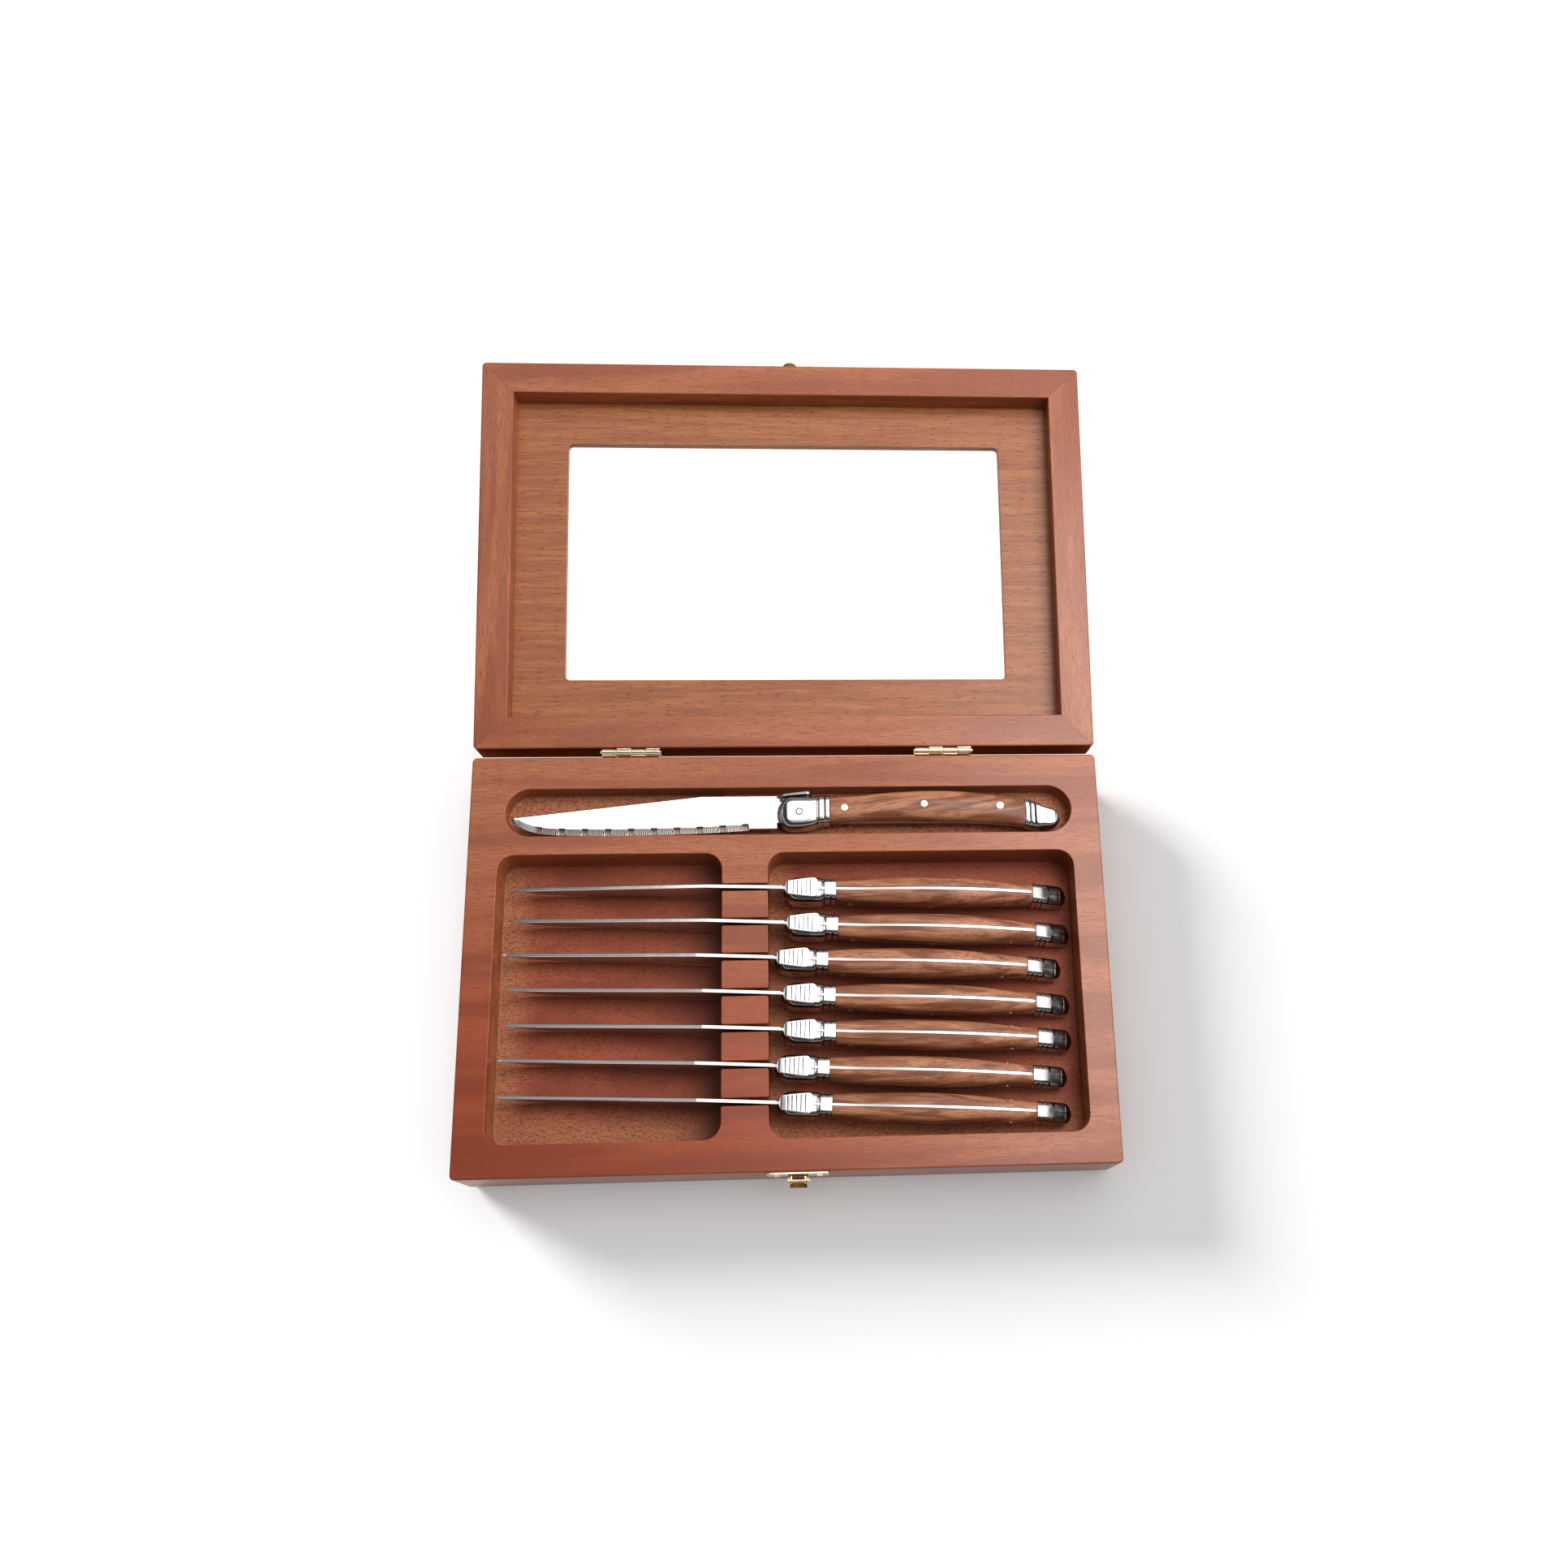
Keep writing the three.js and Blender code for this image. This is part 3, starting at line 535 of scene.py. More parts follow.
@dataclass(frozen=True)
class Wood(Finish):
    """Solid wood, sanded and varnished: streaks along the fibres, slow changes of tone, short dark pores.

    Sizes are millimetres along and across the fibres.
    """

    light: str
    dark: str
    pore: str
    figure: tuple[float, float]
    streak: tuple[float, float]
    fleck: tuple[float, float]
    fleck_share: float = 0.14
    fleck_depth: float = 0.05
    figure_strength: float = 0.8
    streak_strength: float = 0.5
    fleck_strength: float = 0.8
    roughness: tuple[float, float] = (0.45, 0.55)
    varnish: float = 0.42
    varnish_roughness: float = 0.24
    specular: float = 0.15

    def fibres(self, tree: Tree, size: tuple[float, float], detail: float, wave: float) -> Socket:
        """Draws noise that is drawn out along the fibres.

        Args:
            tree: The node tree.
            size: Millimetres along and across the fibres of one patch.
            detail: Octaves of finer noise.
            wave: How far the noise bends its own lines.

        Returns:
            The noise, 0 to 1.
        """
        place = add_node(tree, "Attribute", attribute_name="grain")
        scale = (1 / size[0], 1 / size[1], 1 / size[1])
        drawn = add_node(tree, "VectorMath", {0: place.outputs["Vector"], 1: scale}, **TIMES)
        inputs = {"Vector": drawn.outputs[0], "Scale": 1.0, "Detail": detail, "Distortion": wave}
        return add_node(tree, "TexNoise", inputs).outputs["Fac"]

    def flecks(self, tree: Tree) -> Socket:
        """Draws short dashes along the fibres, each with a strength of its own.

        The wood is divided into cells that are long along the fibres. Each holds one point at random, and
        the dash is all that lies near it.

        Args:
            tree: The node tree.

        Returns:
            The dashes, 0 to 1.
        """
        place = add_node(tree, "Attribute", attribute_name="grain").outputs["Vector"]
        parts = add_node(tree, "SeparateXYZ", {0: place}).outputs
        across = add_node(tree, "Math", {0: parts["Y"], 1: parts["Z"]}, operation="ADD")
        flat = add_node(tree, "CombineXYZ", {"X": parts["X"], "Y": across.outputs[0]})
        scale = (1 / self.fleck[0], 1 / self.fleck[1], 1.0)
        drawn = add_node(tree, "VectorMath", {0: flat.outputs[0], 1: scale}, **TIMES).outputs[0]
        inputs = {"Vector": drawn, "Scale": 1.0}
        cells = add_node(tree, "TexVoronoi", inputs, voronoi_dimensions="2D").outputs
        reach = {"From Min": self.fleck_share, "From Max": self.fleck_share * 0.4}
        dash = add_node(tree, "MapRange", {"Value": cells["Distance"], **reach}, **SMOOTH)
        own = add_node(tree, "SeparateColor", {0: cells["Color"]})
        both = {0: dash.outputs["Result"], 1: own.outputs[0]}
        return add_node(tree, "Math", both, **TIMES).outputs[0]

    def fades(self, tree: Tree, rows: tuple[Fade, ...], way: str) -> Socket:
        """Draws fades along the object's axes, each smoothly from 1 at its start to 0 at its end.

        Args:
            tree: The node tree.
            rows: Each fade's axis, start and end in millimetres.
            way: MULTIPLY where all of them have to hold, MAXIMUM where any does.

        Returns:
            The joined fades, 0 to 1.
        """
        place = add_node(tree, "SeparateXYZ", {0: add_node(tree, "TexCoord").outputs["Object"]}).outputs
        fades = []
        for axis, start, end in rows:
            inputs = {"Value": place[axis], "From Min": start * MM, "From Max": end * MM}
            inputs |= {"To Min": 1.0, "To Max": 0.0}
            fades.append(add_node(tree, "MapRange", inputs, **SMOOTH).outputs["Result"])
        joined = fades[0]
        for fade in fades[1:]:
            joined = add_node(tree, "Math", {0: joined, 1: fade}, operation=way).outputs[0]
        return joined

    def tone_and_painted_shade(self, tree: Tree, tone: Socket) -> Socket:
        """Changes the tone from place to place, and paints shade, where a wood needs it."""
        return tone

    def shader(self, tree: Tree) -> Socket:
        """Draws figure, tone and painted shade by place, streaks and flecks over each other.

        Args:
            tree: The node tree.

        Returns:
            The shader.
        """
        patterns = (
            (self.fibres(tree, self.figure, 2.0, 0.6), 0.35, 0.65, self.figure_strength),
            (self.fibres(tree, self.streak, 4.0, 0.3), 0.42, 0.7, self.streak_strength),
            (self.flecks(tree), 0.0, 1.0, self.fleck_strength),
        )
        limits = ("Value", "From Min", "From Max", "To Max")
        figure, streak, fleck = (
            add_node(tree, "MapRange", dict(zip(limits, pattern)), **SMOOTH).outputs["Result"]
            for pattern in patterns
        )
        inputs = {0: figure, 6: linear(self.light), 7: linear(self.dark)}
        colour = self.tone_and_painted_shade(tree, add_node(tree, "Mix", inputs, **COLOURS).outputs[2])
        for share, over in ((streak, self.dark), (fleck, self.pore)):
            colour = add_node(tree, "Mix", {0: share, 6: colour, 7: linear(over)}, **COLOURS).outputs[2]
        height = add_node(tree, "Math", {0: fleck, 1: -1.0}, **TIMES).outputs[0]
        depth = self.fleck_depth * MM
        bump = add_node(tree, "Bump", {"Height": height, "Strength": 0.5, "Distance": depth})
        limits = {"To Min": self.roughness[0], "To Max": self.roughness[1]}
        roughness = add_node(tree, "MapRange", {"Value": streak, **limits})
        inputs = {
            "Base Color": colour,
            "Roughness": roughness.outputs["Result"],
            "Normal": bump.outputs["Normal"],
            "Specular IOR Level": self.specular,
            "Coat Weight": self.varnish,
            "Coat Roughness": self.varnish_roughness,
        }
        return add_node(tree, "BsdfPrincipled", inputs).outputs[0]


@dataclass(frozen=True)
class TrayWood(Wood):
    """Stained wood with painted shade: its top turns darker and redder towards the front on the left, where
    less light falls.
    """

    shade_tint: str = "#ecb898"
    # Where the painted shade lies: fades along y, x and z, strongest at the top front left.
    shaded_fades: tuple[Fade, ...] = (("Y", -50.0, 70.0), ("X", -30.0, 105.0), ("Z", 31.5, 24.0))

    def tone_and_painted_shade(self, tree: Tree, tone: Socket) -> Socket:
        """Paints the shade there, by multiplying the tone with the tint."""
        inputs = {0: self.fades(tree, self.shaded_fades, "MULTIPLY"), 6: tone, 7: linear(self.shade_tint)}
        return add_node(tree, "Mix", inputs, blend_type="MULTIPLY", **COLOURS).outputs[2]


@dataclass(frozen=True)
class MilledWood(Wood):
    """Bare milled wood: paler with golden grains by the pockets' left walls, the front wall and in the
    slot, with a painted shadow before the bridge."""

    golden: str = "#b4805a"
    bridge_shadow: str = "#3a2119"
    front: float = -75.2
    slot_start: float = 50.0
    lefts: tuple[float, float] = (-120.95, -8.95)
    bridge_left: float = -28.15
    pale_width: float = 17.0
    rim_width: float = 2.0
    bridge_shadow_width: float = 30.0
    bridge_shadow_strength: float = 0.6
    step: float = 0.001

    def tone_and_painted_shade(self, tree: Tree, tone: Socket) -> Socket:
        """Adds the pale rims with their golden grains, and the bridge's painted shadow.

        Args:
            tree: The node tree.
            tone: The wood's own tone.

        Returns:
            The changed tone.
        """
        width, rim, bridge = self.pale_width, self.rim_width, self.bridge_left
        left, inner = self.lefts
        rims = (
            ("Y", self.front + rim, self.front + 1.3 * width),
            ("X", left + rim, left + width),
            ("Y", self.slot_start, self.slot_start - 1),
        )
        inside = (("X", inner + rim, inner + 0.8 * width), ("X", inner, inner - self.step))
        both = {0: self.fades(tree, rims, "MAXIMUM"), 1: self.fades(tree, inside, "MULTIPLY")}
        pale = add_node(tree, "Math", both, operation="MAXIMUM").outputs[0]
        grains = self.fibres(tree, (0.7, 0.45), 4.0, 0.2)
        inputs = {"Value": grains, "From Min": 0.3, "From Max": 0.7, "To Max": 0.9}
        grains = add_node(tree, "MapRange", inputs, **SMOOTH).outputs["Result"]
        pale = add_node(tree, "Math", {0: pale, 1: grains}, **TIMES).outputs[0]
        # Painted shadow of the bridge: darkest at its left face, fading out over 30 mm to the left.
        bridge_shadow_fades = (("X", bridge, bridge - self.bridge_shadow_width), ("X", bridge, bridge + self.step))
        bridge_shadow_share = add_node(tree, "Math", {0: self.fades(tree, bridge_shadow_fades, "MULTIPLY"), 1: self.bridge_shadow_strength}, **TIMES)
        for share, over in ((pale, self.golden), (bridge_shadow_share.outputs[0], self.bridge_shadow)):
            tone = add_node(tree, "Mix", {0: share, 6: tone, 7: linear(over)}, **COLOURS).outputs[2]
        return tone


@dataclass(frozen=True)
class Metal(Finish):
    """Metal with a worked surface: a polish or a brushing, with faint smears in its gloss."""

    colour: str
    roughness: tuple[float, float]
    smear: float = 6.0
    scratch: float = 0.35
    scratch_depth: float = 0.002
    tarnish: str = ""
    tarnish_strength: float = 0.0

    def shader(self, tree: Tree) -> Socket:
        """Draws smears in the gloss, fine lines along the metal and, if it has any, tarnish.

        Args:
            tree: The node tree.

        Returns:
            The shader.
        """
        place = add_node(tree, "Attribute", attribute_name="grain").outputs["Vector"]
        smears = add_node(tree, "TexNoise", {"Vector": place, "Scale": 1 / self.smear, "Detail": 3.0})
        smears = smears.outputs["Fac"]
        scale = (0.12 / self.scratch, 1 / self.scratch, 1 / self.scratch)
        drawn = add_node(tree, "VectorMath", {0: place, 1: scale}, **TIMES).outputs[0]
        scratches = add_node(tree, "TexNoise", {"Vector": drawn, "Scale": 1.0, "Detail": 3.0})
        depth = {"Strength": 0.4, "Distance": self.scratch_depth * MM}
        bump = add_node(tree, "Bump", {"Height": scratches.outputs["Fac"], **depth})
        low, high = self.roughness
        limits = {"From Min": 0.3, "From Max": 0.7, "To Min": low, "To Max": high}
        roughness = add_node(tree, "MapRange", {"Value": smears, **limits})
        inputs = {
            "Base Color": linear(self.colour),
            "Metallic": 1.0,
            "Roughness": roughness.outputs["Result"],
            "Normal": bump.outputs["Normal"],
        }
        if self.tarnish:
            limits = {"From Min": 0.45, "From Max": 0.7, "To Max": self.tarnish_strength}
            share = add_node(tree, "MapRange", {"Value": smears, **limits}).outputs["Result"]
            colours = {0: share, 6: linear(self.colour), 7: linear(self.tarnish)}
            inputs["Base Color"] = add_node(tree, "Mix", colours, **COLOURS).outputs[2]
        return add_node(tree, "BsdfPrincipled", inputs).outputs[0]


@dataclass(frozen=True)
class Glass(Finish):
    """Clear window glass, 1.2 mm: it lets light through to what lies below and shows only its gloss."""

    name: str = "window_glass"

    def shader(self, tree: Tree) -> Socket:
        """Draws faintly uneven glass that is clear for shadows.

        Args:
            tree: The node tree.

        Returns:
            The shader.
        """
        place = add_node(tree, "TexCoord").outputs["Object"]
        ripple = add_node(tree, "TexNoise", {"Vector": place, "Scale": 18.0, "Detail": 1.0}).outputs["Fac"]
        bump = add_node(tree, "Bump", {"Height": ripple, "Strength": 0.1, "Distance": 0.01 * MM})
        inputs = {
            "Base Color": linear("#fbfdfc"),
            "Roughness": 0.02,
            "IOR": 1.5,
            "Transmission Weight": 1.0,
            "Normal": bump.outputs["Normal"],
        }
        glass = add_node(tree, "BsdfPrincipled", inputs)
        clear = add_node(tree, "BsdfTransparent", {"Color": linear("#f4f8f6")})
        shadow = add_node(tree, "LightPath").outputs["Is Shadow Ray"]
        return add_node(tree, "MixShader", {0: shadow, 1: glass.outputs[0], 2: clear.outputs[0]}).outputs[0]


def background_rays(tree: Tree) -> Socket:
    """Tells the rays that look at the background, by themselves or in metal or glass.

    Args:
        tree: The node tree.

    Returns:
        1 for such a ray, else 0.
    """
    path = add_node(tree, "LightPath").outputs
    seen = path["Is Camera Ray"]
    for other in ("Is Glossy Ray", "Is Transmission Ray"):
        seen = add_node(tree, "Math", {0: seen, 1: path[other]}, operation="MAXIMUM").outputs[0]
    return seen


@dataclass(frozen=True)
class FloorPaper(Finish):
    """White paper on the floor, which looks white to the camera and keeps the case's shadow."""

    name: str = "white_floor"
    colour: str = "#e6e6e6"
    glow: float = 0.05

    def shader(self, tree: Tree) -> Socket:
        """Draws matt paper with a faint glow for rays that look at it.

        Args:
            tree: The node tree.

        Returns:
            The shader.
        """
        paper = add_node(tree, "BsdfDiffuse", {"Color": linear(self.colour)})
        glow = add_node(tree, "Math", {0: background_rays(tree), 1: self.glow}, **TIMES)
        light = add_node(tree, "Emission", {"Strength": glow.outputs[0]})
        return add_node(tree, "AddShader", {0: paper.outputs[0], 1: light.outputs[0]}).outputs[0]


# Steamed beech, stained reddish brown under satin varnish: a quiet red-brown with short dark flecks, which
# turns whitish where the varnish mirrors a soft box.
BEECH_LOOK = {
    "light": "#a5603a", "dark": "#7f3c22", "pore": "#772f14",
    "figure": (120, 11), "streak": (7, 0.5), "fleck": (6, 1.0), "fleck_share": 0.2,
    "figure_strength": 0.7, "streak_strength": 0.7, "fleck_strength": 0.85,
}
STAINED_BEECH = Wood("stained_beech", **BEECH_LOOK)

# The same beech as one wide board under the same varnish, for the tray, with painted shade: darker and
# redder on top towards the front on the left.
TRAY_BEECH = TrayWood("stained_beech_board", **BEECH_LOOK)

# The same beech on the hinged face of the rear rail, darker and without gloss: painted shade for the gap
# behind the tray.
SHADED_GAP_BEECH = Wood(
    "beech_painted_gap_shade", "#8a4c2c", "#6f3722", "#4c2214",
    figure=(120, 11), streak=(22, 0.8), fleck=(24, 1.6), fleck_share=0.22,
    roughness=(0.75, 0.85), varnish=0.0, specular=0.0,
)

# The same beech where the cutter milled the pockets' floors: rough and dry, red-brown with fine grains,
# darkened before the bridge by a painted shadow.
MILLED_BEECH = MilledWood(
    "milled_beech", "#964f37", "#723426", "#4c2219",
    figure=(46, 22), streak=(1.6, 0.6), fleck=(9, 1.7), fleck_depth=0.12,
    figure_strength=0.6, streak_strength=0.7, roughness=(0.6, 0.75), varnish=0.0,
)

# Open-pored veneered board of the lid's panel: yellower, with long dark streaks and many fine pores.
PANEL_WOOD = Wood(
    "panel_veneer", "#a4653c", "#7a4228", "#4b2415",
    figure=(70, 3.5), streak=(12, 0.4), fleck=(8, 1.0), fleck_share=0.2, fleck_depth=0.08,
    figure_strength=0.5, streak_strength=0.7, fleck_strength=0.9, roughness=(0.5, 0.6),
    varnish=0.35, varnish_roughness=0.3,
)

# Oiled tropical hardwood of the handles: orange brown with dark slanting streaks and a silky gloss.
HANDLE_WOOD = Wood(
    "handle_rosewood", "#b27958", "#673825", "#42210f",
    figure=(34, 3.2), streak=(8, 0.3), fleck=(5, 0.7), fleck_strength=0.5,
    figure_strength=0.85, streak_strength=0.75, roughness=(0.4, 0.5), varnish=0.15,
)

# Hardboard under the tray, stained like the rest and left matt.
BASE_BOARD = Wood(
    "base_hardboard", "#8f5b41", "#74452f", "#57301f",
    figure=(8, 8), streak=(1.2, 0.8), fleck=(3, 1.5), roughness=(0.65, 0.8), varnish=0.0,
)

# Hardened stainless blade, ground and then polished: a mirror with faint lines along the blade.
BLADE_STEEL = Metal("polished_blade_steel", "#d4d3d2", (0.1, 0.18))

# The same steel where the serrated band was ground across: duller, with fine lines.
GROUND_STEEL = Metal("ground_blade_steel", "#8f827c", (0.2, 0.28), smear=1.5)

# Its smooth scallops, hollowed with a coarser wheel, in darker brownish steel.
SCALLOP_STEEL = Metal("scalloped_blade_steel", "#76665e", (0.2, 0.28), smear=1.5)

# Stamped stainless fittings of the handle, mirror polished.
FITTING_STEEL = Metal("polished_fitting_steel", "#cfcecd", (0.08, 0.16), smear=4.0)

# The rounded edges, the thumb plate's sides and the pins' rims of the same fittings: darker and softer, a
# painted dark reflection.
FLANK_STEEL = Metal("fitting_steel_painted_dark_reflection", "#86827f", (0.16, 0.24), smear=4.0)

# The fine grooves of the same fittings and the rivets' rims: dark lines of painted shade.
SEAM_STEEL = Metal("seam_fitting_steel", "#4b4643", (0.35, 0.45), smear=4.0)

# The tang's edge between the scales, sanded flush with them: a softer white line.
TANG_STEEL = Metal("sanded_tang_steel", "#b5aaa7", (0.3, 0.4), smear=4.0)

# Brass-plated steel of hinges and latch: pale gold, a little browned in patches.
PALE_BRASS = Metal(
    "pale_brass", "#e6d6b6", (0.14, 0.26), smear=3.0, tarnish="#a5855a", tarnish_strength=0.5,
)

# The same plating on the catch's lip and inside the latch's channel, painted dark brown as shade.
SHADED_BRASS = Metal(
    "brass_painted_shade", "#6f5433", (0.2, 0.3), smear=3.0, tarnish="#33200f", tarnish_strength=0.85,
)


# Tray


@dataclass(frozen=True)
class Tray:
    """The milled board with its pockets, bridge and long slot, on its base panel."""

    width: float = 266.9
    depth: float = 177.0
    low: float = 3.0
    top: float = 32.0
    corner: float = 2.0
    outer_edge: float = 0.8
    rim_edge: float = 0.35
    pocket_floor: float = 15.51
    slot_floor: float = 23.0
    pocket_left: float = -120.95
    bridge_left: float = -28.15
    bridge_right: float = -8.95
    pocket_front: float = -75.2
    pocket_back: float = 44.8
    pocket_corner: float = 7.0
    bridge_slots: tuple[float, ...] = (29.8, 14.8, -0.2, -15.2, -30.2, -45.2, -60.2)
    bridge_slot_width: float = 3.2
    mouth_corner: float = 0.8
    slot_low: tuple[float, float] = (-118.75, 53.0)
    slot_high: tuple[float, float] = (121.45, 74.0)
    floor_fillet: float = 0.9
    base_inset: float = 1.0

    def hollow(self, floor: float) -> Line:
        """Makes the profile of a hollow's wall, from the tray's top over the rim to the floor.

        Args:
            floor: The floor's height.

        Returns:
            The profile.
        """
        return Line.rounded(
            [(2 * self.rim_edge, self.top), (0, self.top), (0, floor), (-1.5 * self.floor_fillet, floor)],
            [0, self.rim_edge, self.floor_fillet, 0], 5, False,
        )

    def hollow_outline(self) -> Line:
        """Draws both pockets and the slots between them as one outline, round the bridge's two ends."""
        left, right = self.bridge_left, self.bridge_right
        half = self.bridge_slot_width / 2
        first, last = self.bridge_slots[0] + half, self.bridge_slots[-1] - half
        front, back = self.pocket_front, self.pocket_back
        corners = [
            (self.pocket_left, front), (left, front), (left, last), (right, last),
            (right, front), (-self.pocket_left, front), (-self.pocket_left, back), (right, back),
            (right, first), (left, first), (left, back), (self.pocket_left, back),
        ]
        wide, small = self.pocket_corner, self.mouth_corner
        radii = [wide, wide, small, small, wide, wide, wide, wide, small, small, wide, wide]
        return Line.rounded(corners, radii, 8)

    def block_outlines(self) -> list[Line]:
        """Draws the bridge's free blocks between neighbouring slots."""
        half = self.bridge_slot_width / 2
        return [
            Line.box((self.bridge_left, low + half), (self.bridge_right, high - half), self.mouth_corner, 5)
            for high, low in zip(self.bridge_slots, self.bridge_slots[1:])
        ]

    def shell(self) -> Shell:
        """Makes the board: every wall is a profile carried along its outline, and flat faces join them."""
        shell = Shell()
        half = (self.width / 2, self.depth / 2)
        side = Line.wall(0, -2 * self.outer_edge, self.low, self.top, self.outer_edge, 5)
        outside = shell.rows(*Line.box((-half[0], -half[1]), half, self.corner).carry(side))
        pocket_wall, slot_wall = self.hollow(self.pocket_floor), self.hollow(self.slot_floor)
        pockets = shell.rows(*self.hollow_outline().carry(pocket_wall))
        radius = (self.slot_high[1] - self.slot_low[1]) / 2
        slot = shell.rows(*Line.box(self.slot_low, self.slot_high, radius, 24).carry(slot_wall))
        floor, fillet = self.pocket_floor, self.floor_fillet
        rise = Line.rounded(
            [(1.5 * fillet, floor), (0, floor), (0, self.top), (-0.5, self.top)],
            [0, fillet, self.rim_edge, 0], 5, False,
        )
        blocks = [shell.rows(*outline.carry(rise)) for outline in self.block_outlines()]
        shell.skin(outside)
        walls = [(pockets, pocket_wall), (slot, slot_wall), *((block, rise) for block in blocks)]
        for grid, profile in walls:
            height = np.maximum(profile.points[1:, 1], profile.points[:-1, 1])
            milled = height < profile.points[:, 1].min() + 1.1 * fillet
            shell.skin(grid, milled[:, None].astype(int))
        for block in blocks:
            shell.cap(block[-1])
        shell.cap(outside[0])
        shell.sheet(outside[-1], [pockets[0], slot[0]])
        shell.sheet(pockets[-1], [block[0] for block in blocks], finish=1)
        shell.cap(slot[-1], finish=1)
        return shell

    def build(self) -> None:
        """Makes the board and the thin base panel under it."""
        half = (self.width / 2 - self.base_inset, self.depth / 2 - self.base_inset)
        base = Shell().slab(Line.box((-half[0], -half[1]), half, self.corner), 0.0, self.low, 0.25)
        Fitting("tray", "base_board", (BASE_BOARD,), ("base_panel",)).build("tray_base", base)
        board = Fitting("tray", "tray_wood", (TRAY_BEECH, MILLED_BEECH), ("tray_body",))
        board.build("tray_board", self.shell())


# Lid


LID_PLACE = Placement(turned(0, -173.0), (0.0, 90.5, 32.15))
LID_CENTRE = -90.5


@dataclass(frozen=True)
class LidRail:
    """One mitred rail of the lid's frame, with the rebate that holds the panel."""

    name: str
    length: float
    outer: float
    inward: int
    grain: Grain
    width: float = 14.0
    lap: float = 6.0
    low: float = 0.15
    high: float = 15.15
    seat: float = 9.85
    corner: float = 2.0
    mitre_gap: float = 0.14
    arc_steps: int = 5
    outer_finish: Wood = STAINED_BEECH

    def shell(self) -> Shell:
        """Makes the rail along x.

        A point is its place in the rail's cross-section and its share of the rail's length. The ends
        shorten by the distance from the outer face, which is the mitre, and the outer face draws back
        along a quarter of the corner's round there.
        """
        far = self.width - self.lap
        section = Line.rounded(
            [(0, self.low), (self.width, self.low), (self.width, self.seat), (far, self.seat),
             (far, self.high), (0, self.high)],
            [0.7, 0.5, 0.2, 0.2, 0.3, 0.6], 5,
        )
        angle = np.linspace(0, math.pi / 4, self.arc_steps + 1)
        back = self.corner * (1 - np.cos(angle))
        reach = self.length / 2 - self.corner + self.corner * np.sin(angle)
        reach, back, angle = (
            np.concatenate([side * values[::-1], values])
            for side, values in ((-1, reach), (1, back), (-1, angle))
        )
        end = self.length / 2 - self.corner * (1 - math.cos(math.pi / 4))
        depth = back[:, None] + section.points[None, :, 0] * (1 - back[:, None] / self.width)
        x = reach[:, None] / end * (self.length / 2 - self.mitre_gap / 2 - depth)
        z = np.broadcast_to(section.points[None, :, 1], x.shape)
        points = np.stack([x, depth, z], axis=-1)
        outward = np.minimum(section.normals[None, :, 0], 0)
        inner = np.maximum(section.normals[None, :, 0], 0)
        upward = np.broadcast_to(section.normals[None, :, 1], x.shape)
        sin, cos = np.sin(angle)[:, None], np.cos(angle)[:, None]
        normals = np.stack([-outward * sin, outward * cos + inner, upward], axis=-1)
        outer = np.minimum(section.normals[:, 0], np.roll(section.normals[:, 0], -1)) < -0.99
        return Shell().closed(points, normals, outer.astype(int))

    def build(self) -> None:
        """Turns the rail to its side of the lid."""
        turn = np.diag([1.0, self.inward, 1.0])
        if self.grain is Grain.FRONT_TO_BACK:
            turn = turned(2, -90.0 * self.inward)
        shift = (0.0, self.outer, 0.0) if self.grain is Grain.ACROSS else (self.outer, LID_CENTRE, 0.0)
        shell = Shell().add(self.shell(), Placement(turn, shift))
        woods = (STAINED_BEECH, self.outer_finish)
        fitting = Fitting("lid", "lid_wood", woods, (f"lid_rail_{self.name}",), LID_PLACE, self.grain)
        fitting.build(f"lid_{self.name}_rail", shell)


@dataclass(frozen=True)
class LidPanel:
    """The frame board let into the rails, with the window and the rebate for the pane."""

    half_width: float = 125.15
    half_depth: float = 80.2
    low: float = 10.15
    high: float = 15.15
    window: tuple[float, float] = (96.95, 55.0)
    window_corner: float = 2.0
    pane_lap: float = 4.3
    pane_seat: float = 13.35

    def shell(self) -> Shell:
        """Makes the board from the profiles of its outer edge and of its window."""
        shell = Shell()
        lap = self.pane_lap
        reveal = Line.rounded(
            [(lap + 1, self.high), (lap, self.high), (lap, self.pane_seat), (0, self.pane_seat),
             (0, self.low), (1, self.low)],
            [0, 0.2, 0.2, 0.2, 0.35, 0], 4, False,
        )
        (wide, deep), (x, y) = (self.half_width, self.half_depth), self.window
        rim = Line.box((-wide, LID_CENTRE - deep), (wide, LID_CENTRE + deep), 0.5, 4)
        window = Line.box((-x, LID_CENTRE - y), (x, LID_CENTRE + y), self.window_corner)
        outside = shell.rows(*rim.carry(Line.wall(0, -1, self.low, self.high, 0.3)))
        inside = shell.rows(*window.carry(reveal))
        shell.skin(outside)
        shell.skin(inside)
        shell.sheet(outside[0], [inside[-1]])
        shell.sheet(outside[-1], [inside[0]])
        return shell

    def build(self) -> None:
        """Makes the board."""
        fitting = Fitting("lid", "panel_wood", (PANEL_WOOD,), ("lid_panel",), LID_PLACE)
        fitting.build("lid_board", self.shell())


